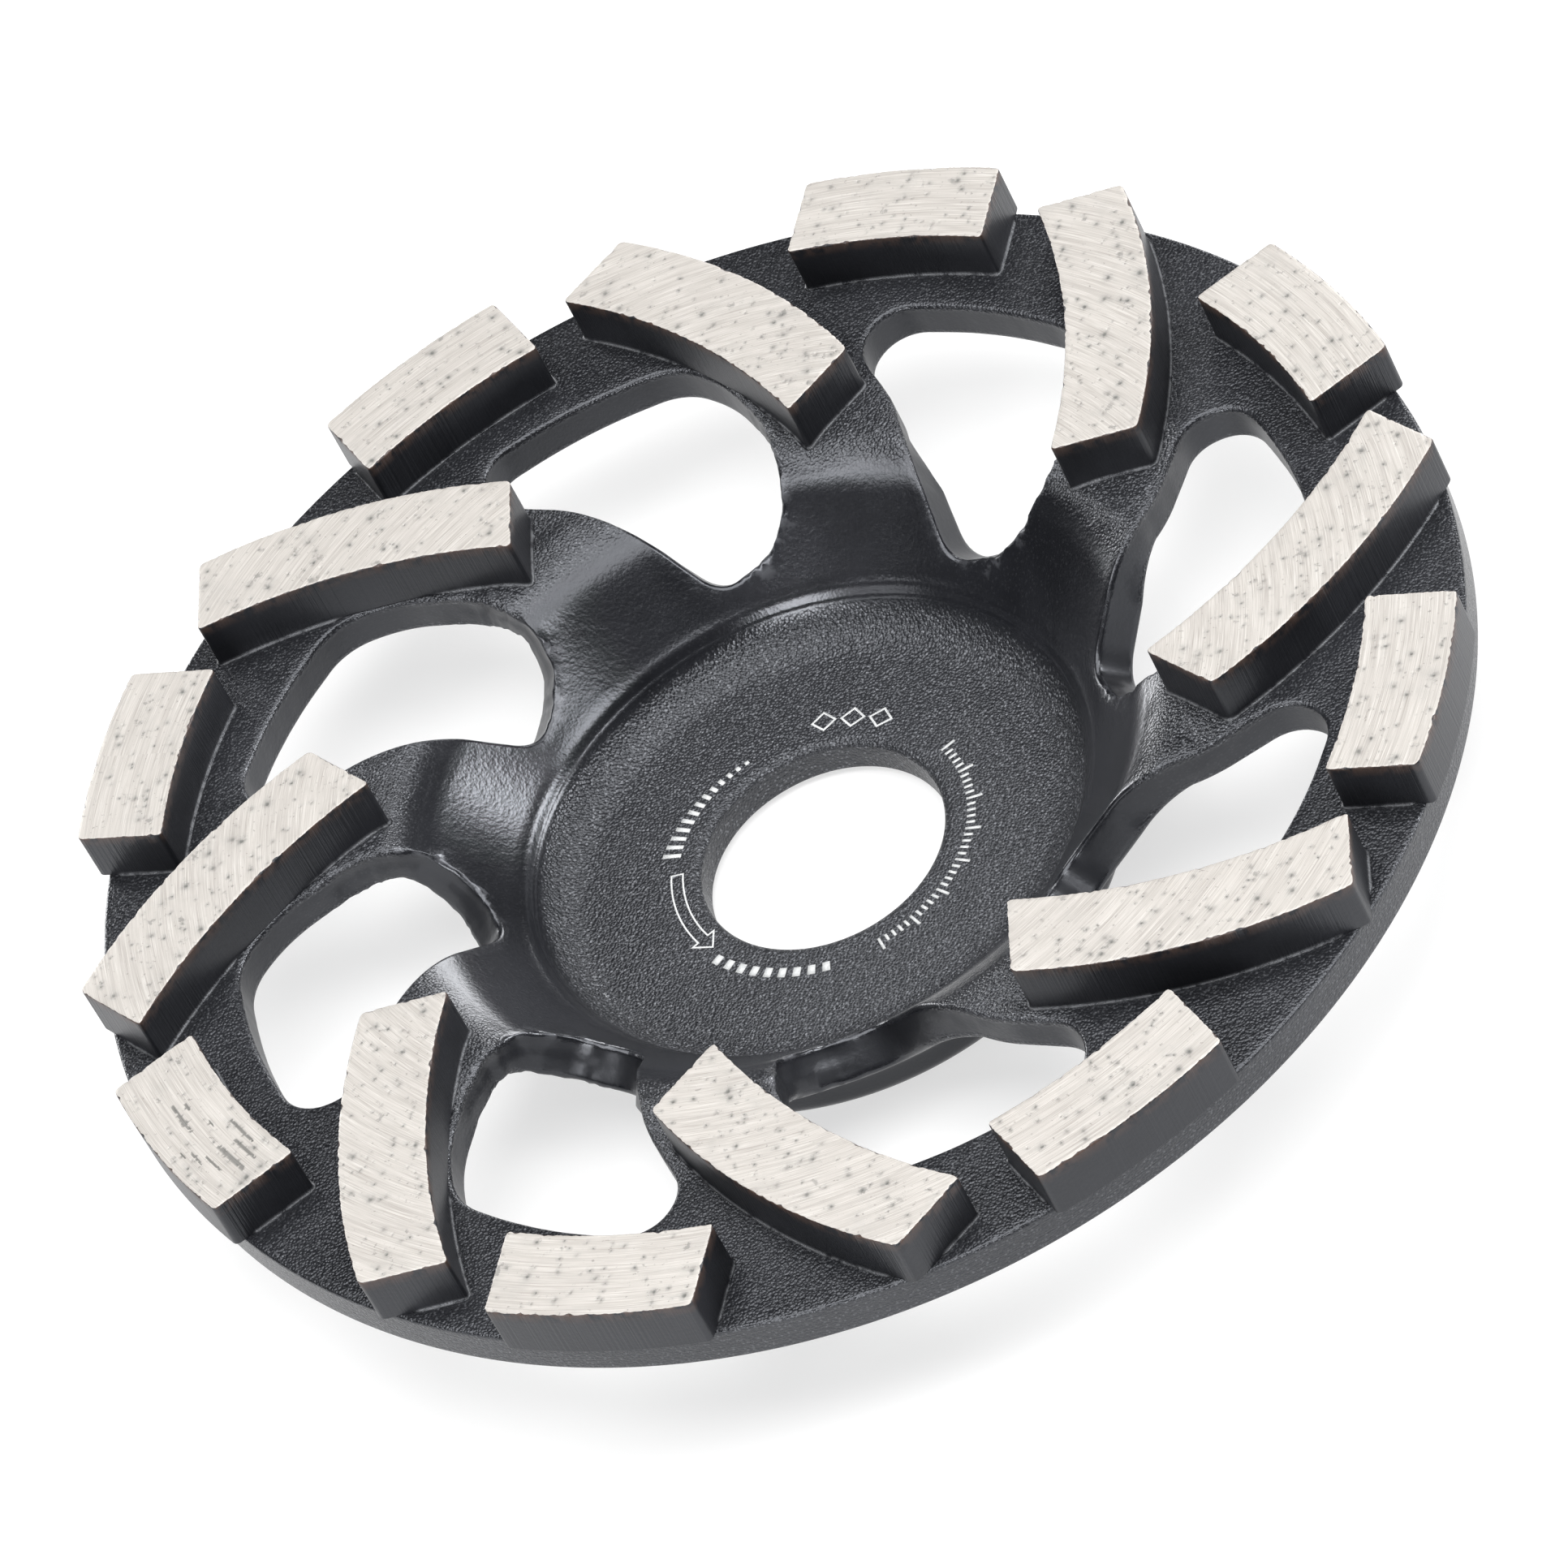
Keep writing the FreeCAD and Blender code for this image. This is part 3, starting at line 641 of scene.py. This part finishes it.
def crumbled(loop, seed):
    """How far the ground edge has crumbled inwards at each point of a loop."""
    rng = random.Random(seed)
    bite = np.array([0.05 + 0.07 * noise.noise((x * 2.6, y * 2.6, seed * 0.37))
                     + 0.05 * noise.noise((x * 6.0, y * 6.0, seed * 0.73)) for x, y in loop])
    for _ in range(len(loop) // POINTS_TO_A_CHIP):
        place, width, depth = rng.randrange(len(loop)), rng.choice((1, 1, 2)), rng.uniform(0.04, 0.18)
        for step in range(-width, width + 1):
            bite[(place + step) % len(loop)] += depth * (1 - abs(step) / (width + 1))
    return np.clip(bite, 0.02, 0.24)


# Places of a segment's two materials
SIDE, TOP = 0, 1
# How far the braze spreads from a side, how deep its foot sinks below the sheet's face, and its outline
# above the foot: distance out from the side, and height
BRAZE_SPREAD = 0.3
BRAZE_SINK = 0.03
BRAZE_ROWS = ((0.12, 0.06), (0.03, 0.17), (0.0, 0.34))
BRAZE_TOP = BRAZE_ROWS[-1][1]
# Depths below the ground face: the level that a side's plain rows share out, the crumbled edge's start and
# lip, and the face's own edge and its waves
SIDE_END = 0.5
EDGE_START = 0.1
EDGE_LIP = 0.015
FACE_EDGE = 0.004
FACE_WAVE = 0.012
# Spacing of the mesh's points: round a segment, over its ground face and over its underside
SIDE_STEP = 0.2
FACE_STEP = 0.3
UNDERSIDE_STEP = 1.6
# How clear of the grains' own points the face's keep, and how near the edge the face's relief fades
CLEAR_OF_GRAIN = 0.12
FACE_FADE = 0.3
# How much the foot's seam (braze and painted highlight) and the scorch show on each row of a side, from
# its foot to its ground edge
SEAM_AND_HIGHLIGHT_ROWS = (0.5, 1.0, 0.25) + (0,) * 7
SCORCH_ROWS = (0,) * 7 + (0.6, 1.0, 0.8)


def make_segment(name, sides, turn, seed):
    """One sintered segment: coated sides with a brazed foot, and a ground top full of grit."""
    rng = random.Random(seed)
    loop = turned(rounded_loop(sides, CORNER, SIDE_STEP), turn)
    facing = outward(loop)
    braze = sheet_below(loop)
    corners = turned(np.array([side[-1] for side in sides]), turn)
    bite = np.minimum(crumbled(loop, seed), 0.06 + 0.16 * nearest(loop, corners))
    shell = Shell()
    foot = loop + facing * (BRAZE_SPREAD * braze)[:, None]
    low = seat_height(foot) - BRAZE_SINK * sheet_below(foot)
    base = seat_height(loop)
    blocks = [np.column_stack([foot, low])]
    for out, rise in BRAZE_ROWS:
        blocks.append(np.column_stack([loop + facing * (out * braze)[:, None], base + rise]))
    for share in (0.25, 0.5, 0.75):
        blocks.append(np.column_stack([loop, base + BRAZE_TOP + (GROUND - SIDE_END - base) * share]))
    blocks.append(np.column_stack([loop, np.full(len(loop), GROUND - EDGE_START) - bite * 0.6]))
    lip = loop - facing * (bite * 0.45)[:, None]
    blocks.append(np.column_stack([lip, GROUND - EDGE_LIP - bite * 0.25]))
    edge = loop - facing * bite[:, None]
    blocks.append(np.column_stack([edge, np.full(len(loop), GROUND - FACE_EDGE)]))
    shell.add(np.concatenate(blocks), strip_faces(len(blocks), len(loop), True), look=SIDE,
              seam=np.concatenate([share * braze for share in SEAM_AND_HIGHLIGHT_ROWS]),
              scorch=np.repeat(SCORCH_ROWS, len(loop)))

    after = np.roll(edge, -1, 0)
    area = 0.5 * abs(np.sum(edge[:, 0] * after[:, 1] - edge[:, 1] * after[:, 0]))
    grit = Grit(edge, area, seed + 1, TORN_STREAKS if name == TORN_SEGMENT else ())
    spots = grit.spots()
    grid = top_spots(edge, FACE_STEP, rng)
    grid = grid[nearest(grid, spots) > CLEAR_OF_GRAIN]
    plan, triangles = fill_plan([edge], np.concatenate([spots, grid]))
    triangles = triangles[inside(plan[triangles].mean(1), edge)]
    sink, dark, smear = grit.relief(plan)
    away = np.clip(nearest(plan, edge) / FACE_FADE, 0, 1)
    wave = np.array([noise.noise((x * 0.5, y * 0.5, seed)) for x, y in plan])
    height = GROUND - FACE_EDGE - away * (sink + FACE_WAVE * (wave + 1))
    shell.add(np.column_stack([plan, np.minimum(height, GROUND)]), triangles, look=TOP,
              grain=dark * away, smear=smear * away)

    plan, triangles = fill_plan([foot], top_spots(foot, UNDERSIDE_STEP, rng))
    triangles = triangles[inside(plan[triangles].mean(1), foot)]
    under = seat_height(plan) - BRAZE_SINK * sheet_below(plan)
    shell.add(np.column_stack([plan, under]), triangles[:, ::-1], look=SIDE)
    return shell.mesh(name + "_finished", weld=0.0015)


# Printed marks

PRINT_LEVEL = SHEET + 0.015
PRINT_FOOT = SHEET - 0.02
OUTLINE_WIDTH = 0.16
LOZENGE_WIDTH = 0.2


def bent_patch(shell, outline):
    """A thin printed patch; outline runs round it as (distance from the axis, angle) pairs."""
    corners = np.array([polar(radius, angle) for radius, angle in outline])
    count = len(corners)
    top = np.column_stack([corners, np.full(count, PRINT_LEVEL)])
    foot = np.column_stack([corners, np.full(count, PRINT_FOOT)])
    shell.add(np.concatenate([foot, top]), strip_faces(2, count, True))
    plan, triangles = fill_plan([corners], np.zeros((0, 2)))
    triangles = triangles[inside(plan[triangles].mean(1), corners)]
    shell.add(np.column_stack([plan, np.full(len(plan), PRINT_LEVEL)]), triangles)
    shell.add(np.column_stack([plan, np.full(len(plan), PRINT_FOOT)]), triangles[:, ::-1])


def bar(shell, inner, outer, angle, width):
    """A short printed bar on a radius."""
    half = math.degrees(width / 2 / ((inner + outer) / 2))
    first, last = angle - half, angle + half
    bent_patch(shell, [(inner, first), (outer, first), (outer, last), (inner, last)])


def stroke(shell, path, width):
    """A printed line along a closed path of plan points."""
    path = np.array(path)
    before, after = unit(path - np.roll(path, 1, 0)), unit(np.roll(path, -1, 0) - path)
    side = np.stack([before[:, 1] + after[:, 1], -before[:, 0] - after[:, 0]], -1)
    mitre = np.maximum(0.35, np.sqrt((1 + (before * after).sum(1)) / 2))
    side = unit(side) / mitre[:, None] * width / 2
    left, right = path - side, path + side
    rows = []
    for edge, level in ((left, PRINT_FOOT), (left, PRINT_LEVEL), (right, PRINT_LEVEL),
                        (right, PRINT_FOOT), (left, PRINT_FOOT)):
        rows.append(np.column_stack([edge, np.full(len(path), level)]))
    shell.add(np.concatenate(rows), strip_faces(len(rows), len(path), True))


def turning_arrow(shell):
    """Outlined arrow that shows which way the wheel turns."""
    middle, half, head = 13.2, 0.53, 1.2
    tail, neck, tip = 191.5, 228.5, 234.8
    path = [polar(middle - half, a) for a in np.linspace(tail, neck, 24)]
    path += [polar(middle - head, neck), polar(middle, tip), polar(middle + head, neck)]
    path += [polar(middle + half, a) for a in np.linspace(neck, tail, 24)]
    stroke(shell, path, OUTLINE_WIDTH)


def printed_marks():
    """The arrow, three rows of plain marks and three lozenges round the bore."""
    shell = Shell()
    turning_arrow(shell)
    for number, angle in enumerate(np.linspace(134, 182, 13)):
        bar(shell, 13.1, 13.5 + 0.11 * number, angle, 0.42)
    for number, angle in enumerate(np.linspace(47, -54, 36)):
        bar(shell, 13.3, 14.75 if number % 5 == 0 else 14.1, angle, 0.26)
    for angle in np.linspace(-75, -119, 9):
        bar(shell, 13.5, 14.5, angle, 0.7)
    for middle in (80, 91, 102):
        corners = ((14.1, middle - 4.4), (15.1, middle), (14.1, middle + 4.4), (13.1, middle))
        stroke(shell, [polar(radius, angle) for radius, angle in corners], LOZENGE_WIDTH)
    return shell.mesh("printed_marks", weld=0.0005)


# Materials

class Strand:
    """A socket in a material; sums written on strands become Math nodes."""

    def __init__(self, finish, socket):
        self.finish, self.socket = finish, socket

    def _math(self, operation, other):
        return self.finish.node("ShaderNodeMath", {"operation": operation}, {0: self, 1: other})

    def __add__(self, other):
        return self._math("ADD", other)

    def __sub__(self, other):
        return self._math("SUBTRACT", other)

    def __mul__(self, other):
        return self._math("MULTIPLY", other)

    def __rsub__(self, other):
        return self.finish.node("ShaderNodeMath", {"operation": "SUBTRACT"}, {0: other, 1: self})

    __radd__ = __add__

    def limit(self):
        """The strand held between 0 and 1."""
        return self.finish.node("ShaderNodeClamp", {}, {"Value": self})

    def power(self, exponent):
        """The strand raised to a power."""
        return self._math("POWER", exponent)

    def angle_from(self, other):
        """The angle in radians, with this strand as the rise and the other as the run."""
        return self._math("ARCTAN2", other)


class Finish:
    """A material built node by node."""

    def __init__(self, name):
        self.material = bpy.data.materials.new(name)
        self.material.use_nodes = True
        self.tree = self.material.node_tree
        self.shader = self.tree.nodes["Principled BSDF"]

    def node(self, kind, settings, sockets, output=0):
        """Adds a node: its settings first, then the values or links of its sockets."""
        made = self.tree.nodes.new(kind)
        for key, value in settings.items():
            setattr(made, key, value)
        for key, value in sockets.items():
            self.join(made.inputs[key], value)
        return Strand(self, made.outputs[output])

    def join(self, socket, value):
        """Links a strand to a socket, or sets the socket's own value."""
        if isinstance(value, Strand):
            self.tree.links.new(value.socket, socket)
        else:
            socket.default_value = value

    def set(self, **values):
        """Feeds the surface's own sockets; underscores stand for the spaces in their names."""
        for name, value in values.items():
            self.join(self.shader.inputs[name.replace("_", " ")], value)

    def place(self):
        """Position on the wheel, in metres."""
        return self.node("ShaderNodeTexCoord", {}, {}, "Object")

    def parts(self, vector):
        """X, Y and Z of a vector."""
        split = self.node("ShaderNodeSeparateXYZ", {}, {0: vector})
        return [Strand(self, split.socket.node.outputs[place]) for place in range(3)]

    def grain(self, vector, scale, detail=2.0, rough=0.5):
        """Noise from 0 to 1."""
        sockets = {"Vector": vector, "Scale": scale, "Detail": detail, "Roughness": rough}
        return self.node("ShaderNodeTexNoise", {}, sockets, "Fac")

    def scored(self, radius, fine, angle, long, scale=1.0, detail=2.0, rough=0.6):
        """Noise drawn out along circles round the axis, or across them, from 0 to 1."""
        across = self.node("ShaderNodeCombineXYZ", {}, {0: radius * fine, 1: angle * long, 2: 0.0})
        return self.grain(across, scale, detail, rough)

    def cells(self, vector, scale):
        """Small domes packed side by side: 0 between them and 1 at their tops."""
        gap = self.node("ShaderNodeTexVoronoi", {}, {"Vector": vector, "Scale": scale}, "Distance")
        return (1 - gap * gap * 1.6).limit()

    def ease(self, value, low, high):
        """0 below low, 1 above high and smooth between; low may be the greater."""
        return self.node("ShaderNodeMapRange", {"interpolation_type": "SMOOTHSTEP"},
                         {"Value": value, "From Min": low, "From Max": high})

    def blend(self, share, first, second):
        """A colour between two."""
        made = self.tree.nodes.new("ShaderNodeMix")
        made.data_type = "RGBA"
        self.join(made.inputs["Factor"], share)
        for key, value in (("A", first), ("B", second)):
            socket = next(s for s in made.inputs if s.name == key and s.type == "RGBA")
            self.join(socket, value if isinstance(value, Strand) else (*value, 1))
        return Strand(self, next(s for s in made.outputs if s.type == "RGBA"))

    def mark(self, name):
        """A value that the mesh carries on its points."""
        return self.node("ShaderNodeAttribute", {"attribute_name": name}, {}, "Fac")

    def raised(self, height, distance, strength, normal=None):
        """Bumps from a height between 0 and 1; distance is in metres."""
        sockets = {"Height": height, "Distance": distance, "Strength": strength}
        if normal is not None:
            sockets["Normal"] = normal
        return self.node("ShaderNodeBump", {}, sockets, "Normal")

    def round_the_axis(self, place):
        """Distance from the axis in millimetres, and the angle round it in radians."""
        x, y, _ = self.parts(place)
        angle = y.angle_from(x)
        distance = (x * x + y * y).power(0.5) * 1000
        return distance, angle


# Colours of the coat, its pebbled zones (partly painted sheen), its painted glints, the places where it is
# thin, and a segment side's braze seam (partly painted highlight) and scorch
COAT_DARK = (0.0062, 0.0065, 0.0080)
COAT_PALE = (0.0115, 0.0120, 0.0145)
COAT_PEBBLED_AND_SHEEN = (0.024, 0.025, 0.028)
COAT_PAINTED_GLINT = (0.190, 0.196, 0.212)
COAT_GLEAM = (0.90, 0.93, 1.0, 1)
BARE_EDGE = (0.100, 0.103, 0.113)
BRAZE_SEAM_AND_HIGHLIGHT = (0.120, 0.123, 0.130)
SCORCHED = (0.075, 0.046, 0.034)
# Colours of the ground metal, from its pale hairs to its dark grains
METAL_HAIR = (0.66, 0.64, 0.61)
METAL_PALE = (0.485, 0.46, 0.43)
METAL_DULL = (0.385, 0.36, 0.335)
METAL_PATCH = (0.33, 0.318, 0.30)
METAL_SCRATCH = (0.23, 0.205, 0.18)
METAL_SMEAR = (0.20, 0.20, 0.188)
METAL_SPECK = (0.16, 0.15, 0.14)
METAL_DIRT = (0.15, 0.148, 0.14)
METAL_GRAIN = (0.085, 0.086, 0.08)
# Colours of the print, where it is thick and where it is thin
PRINT_THICK = (0.60, 0.61, 0.61)
PRINT_THIN = (0.34, 0.35, 0.36)
# The floor: its grey, and how much light of its own keeps it pale
FLOOR_GREY = (0.37, 0.37, 0.37, 1)
WHITE = (1, 1, 1, 1)
FLOOR_GLOW = 0.64


def body_coat():
    """Satin black coat on the steel: sleek on the slope, pebbled on the hub's floor, bend and land, with
    painted glints and some painted sheen in the pebbled zones' base colour.
    """
    finish = Finish("satin_black_coat")
    place = finish.place()
    radius, _ = finish.round_the_axis(place)
    _, _, height = finish.parts(place)
    wall = finish.mark("wall")
    floor = finish.ease(radius, 25.2, 24.2)
    bend = finish.ease(radius, 33.0, 36.0) * finish.ease(radius, 46.0, 41.0)
    land = finish.ease(radius, 38.0, 44.0)
    pebbled = (floor + bend * 0.75 + land * 0.35 + 0.06).limit() * (1 - wall * 0.9)
    pebbles = finish.cells(place, 3600.0)
    specks = finish.ease(finish.cells(place, 2500.0), 0.82, 0.96)
    glints = finish.ease(finish.grain(place, 3100.0, 2.0, 0.6), 0.54, 0.66)
    wrinkles = finish.grain(place, 1700.0, 3.0, 0.6)
    cloud = finish.grain(place, 70.0, 3.0, 0.6)
    edge = finish.mark("edge") * finish.ease(finish.grain(place, 560.0, 3.0, 0.65), 0.46, 0.62)
    tone = finish.blend(finish.ease(cloud, 0.35, 0.7), COAT_DARK, COAT_PALE)
    # Pebbled zones get a lighter base colour: partly the pebbled coat's own grey, partly painted sheen for
    # the highlights on the hub's floor and bends
    tone = finish.blend(pebbled * 0.3, tone, COAT_PEBBLED_AND_SHEEN)
    # Painted glints: pale specks in the base colour of the pebbled coat, standing in for its sparkle
    tone = finish.blend(specks * pebbled * 0.62, tone, COAT_PAINTED_GLINT)
    tone = finish.blend(edge * 0.9, tone, BARE_EDGE)
    rough = 0.2 + cloud * 0.06 + wall * 0.14 + pebbled * 0.16 - glints * pebbled * 0.2
    turned_side = finish.ease(radius, RIM - 0.12, RIM - 0.04)
    lines = finish.node("ShaderNodeTexNoise", {"noise_dimensions": "1D"},
                        {"W": height, "Scale": 6500.0, "Detail": 2.0}, "Fac")
    relief = pebbles * pebbled + wrinkles * 0.3 + lines * turned_side * 0.4
    folds = finish.grain(place, 230.0, 1.0, 0.4) * bend
    soft = finish.raised(folds, 0.0009, 0.8)
    finish.set(Base_Color=tone, Roughness=rough, IOR=1.62, Specular_Tint=COAT_GLEAM,
               Normal=finish.raised(relief, 0.00008, 1.0, soft))
    return finish.material


def segment_coat():
    """The same coat on the segments' sides, with faint upright press marks, a lighter seam at the brazed
    foot that is partly painted highlight, and scorch near the ground edge.
    """
    finish = Finish("segment_side_coat")
    place = finish.place()
    radius, angle = finish.round_the_axis(place)
    cloud = finish.grain(place, 120.0, 3.0, 0.6)
    lines = finish.scored(radius, 2.2, angle, 120, scale=2.0)
    pebbles = finish.grain(place, 2800.0, 2.0, 0.5)
    broken = finish.ease(finish.grain(place, 900.0, 3.0, 0.6), 0.36, 0.56)
    tone = finish.blend(finish.ease(cloud, 0.35, 0.7), COAT_DARK, COAT_PALE)
    # Lighter seam along the brazed foot: partly the braze's own colour, partly a painted highlight on its
    # fillet
    tone = finish.blend(finish.mark("seam") * broken * 0.9, tone, BRAZE_SEAM_AND_HIGHLIGHT)
    tone = finish.blend(finish.mark("scorch") * broken, tone, SCORCHED)
    finish.set(Base_Color=tone, Roughness=0.34 + cloud * 0.1, IOR=1.55, Specular_Tint=COAT_GLEAM,
               Normal=finish.raised(pebbles * 0.3 + lines, 0.00007, 0.9))
    return finish.material


def ground_metal():
    """Ground face of a segment: pale metal, scored round the axis, with dark grains and smears."""
    finish = Finish("ground_segment_metal")
    place = finish.place()
    radius, angle = finish.round_the_axis(place)
    broad = finish.scored(radius, 1.6, angle, 3.2, detail=3.0, rough=0.62)
    narrow = finish.scored(radius, 6.0, angle, 6.0, detail=3.0, rough=0.62)
    hair = finish.scored(radius, 14.0, angle, 10.0, rough=0.62)
    patches = finish.grain(place, 260.0, 4.0, 0.65)
    specks = finish.ease(finish.grain(place, 2300.0, 2.0, 0.6), 0.66, 0.74)
    grain, smear = finish.mark("grain"), finish.mark("smear")
    dirt = finish.ease(finish.grain(place, 720.0, 4.0, 0.7), 0.60, 0.68)
    dirt = dirt * finish.ease(patches, 0.42, 0.58)
    tone = finish.blend(finish.ease(broad * 0.45 + narrow * 0.55, 0.36, 0.62), METAL_DULL, METAL_PALE)
    tone = finish.blend(finish.ease(hair, 0.54, 0.68) * 0.5, tone, METAL_HAIR)
    tone = finish.blend(finish.ease(hair, 0.46, 0.32) * 0.45, tone, METAL_SCRATCH)
    tone = finish.blend(finish.ease(patches, 0.52, 0.74) * 0.3, tone, METAL_PATCH)
    tone = finish.blend(smear * (0.45 + patches * 0.6), tone, METAL_SMEAR)
    tone = finish.blend(specks * 0.55, tone, METAL_SPECK)
    tone = finish.blend(dirt * 0.6, tone, METAL_DIRT)
    tone = finish.blend((grain * 1.3).limit() * 0.75, tone, METAL_GRAIN)
    relief = narrow * 0.5 + hair * 0.5 + patches * 0.25
    finish.set(Base_Color=tone, Metallic=0.25, Roughness=0.46 + grain * 0.2, IOR=1.5,
               Normal=finish.raised(relief, 0.00004, 0.7))
    return finish.material


def pale_print():
    """Light grey print, a little thin in places."""
    finish = Finish("pale_grey_print")
    thin = finish.ease(finish.grain(finish.place(), 1700.0, 3.0, 0.6), 0.5, 0.75)
    finish.set(Base_Color=finish.blend(thin * 0.5, PRINT_THICK, PRINT_THIN), Roughness=0.5)
    return finish.material


def studio_floor():
    """Plain pale floor."""
    finish = Finish("pale_floor")
    finish.set(Base_Color=FLOOR_GREY, Roughness=0.8, Emission_Color=WHITE, Emission_Strength=FLOOR_GLOW)
    return finish.material


# The wheel

coat, side_coat, metal = body_coat(), segment_coat(), ground_metal()
place_piece("wheel_body", make_body(), [coat], ["steel_body"])
for number in range(WINDOWS):
    for kind, sides in (("short", short_sides()), ("long", long_sides())):
        node = "%s_segment_%d" % (kind, number + 1)
        mesh = make_segment(node, sides, -number * PITCH, 100 * number + (50 if kind == "long" else 0))
        place_piece("ground_" + node, mesh, [side_coat, metal], [node])
place_piece("bore_print", printed_marks(), [pale_print()])


# Floor, light and camera, in metres

FLOOR_REACH = 4.0
# The floor lies just under the hub's back
FLOOR_DROP = 0.0002
# The lights face a point half way up the wheel
LIGHT_AIM = (0, 0, 0.01)
# Name, degrees above the floor, degrees from X, width and watts
LIGHTS = [
    ("overhead_light", 89.9, 0, 1.0, 13.5),
    ("right_light", 50, 5, 0.36, 3.4),
    ("back_light", 54, 72, 0.36, 0.6),
    ("front_top_light", 56, 216, 0.36, 1.6),
    ("right_low_light", 18, 30, 0.36, 6.55),
    ("back_low_light", 18, 90, 0.36, 3.8),
    ("left_low_light", 18, 155, 0.36, 1.63),
    ("left_floor_light", 4, 150, 0.36, 4.18),
    ("front_low_light", 18, 240, 0.36, 0.9),
    ("front_floor_light", 22, 271, 0.36, 5.0),
]
CAMERA_LENS = 229.712
CAMERA_PLACE = (0.342411, -0.503292, 0.611116)
CAMERA_TURN = (41.6964, 20.0736, 13.187)


def stage_floor():
    """A square of floor, much wider than the wheel."""
    mesh = bpy.data.meshes.new("studio_floor")
    corners = [(x * FLOOR_REACH, y * FLOOR_REACH, 0) for x, y in ((-1, -1), (1, -1), (1, 1), (-1, 1))]
    mesh.from_pydata(corners, [], [(0, 1, 2, 3)])
    floor = bpy.data.objects.new("studio_floor", mesh)
    floor.location.z = -FLOOR_DROP
    mesh.materials.append(studio_floor())
    bpy.context.scene.collection.objects.link(floor)


def soft_light(name, height, turn, size, power):
    """A square soft light that faces the wheel from one metre off."""
    up, across = math.radians(height), math.radians(turn)
    place = Vector((math.cos(up) * math.cos(across), math.cos(up) * math.sin(across), math.sin(up)))
    light = bpy.data.lights.new(name, "AREA")
    light.shape, light.size, light.energy = "SQUARE", size, power
    lamp = bpy.data.objects.new(name, light)
    lamp.location = place
    lamp.rotation_euler = (Vector(LIGHT_AIM) - place).to_track_quat("-Z", "Y").to_euler()
    bpy.context.scene.collection.objects.link(lamp)


def dark_air():
    """Surroundings that give no light of their own."""
    world = bpy.data.worlds.new("studio_air")
    world.use_nodes = True
    world.node_tree.nodes["Background"].inputs["Strength"].default_value = 0.0
    bpy.context.scene.world = world


def photo_camera():
    """Camera at the photograph's viewpoint, found by fitting the rims and segments."""
    camera = bpy.data.cameras.new("photo_camera")
    camera.sensor_width = 36
    camera.lens = CAMERA_LENS
    camera.clip_start, camera.clip_end = 0.05, 20
    view = bpy.data.objects.new("photo_camera", camera)
    view.location = CAMERA_PLACE
    view.rotation_euler = [math.radians(degrees) for degrees in CAMERA_TURN]
    bpy.context.scene.collection.objects.link(view)
    bpy.context.scene.camera = view


stage_floor()
dark_air()
for name, height, turn, size, power in LIGHTS:
    soft_light(name, height, turn, size, power)
photo_camera()
bpy.context.scene.view_settings.view_transform = "Standard"

bpy.context.view_layer.update()
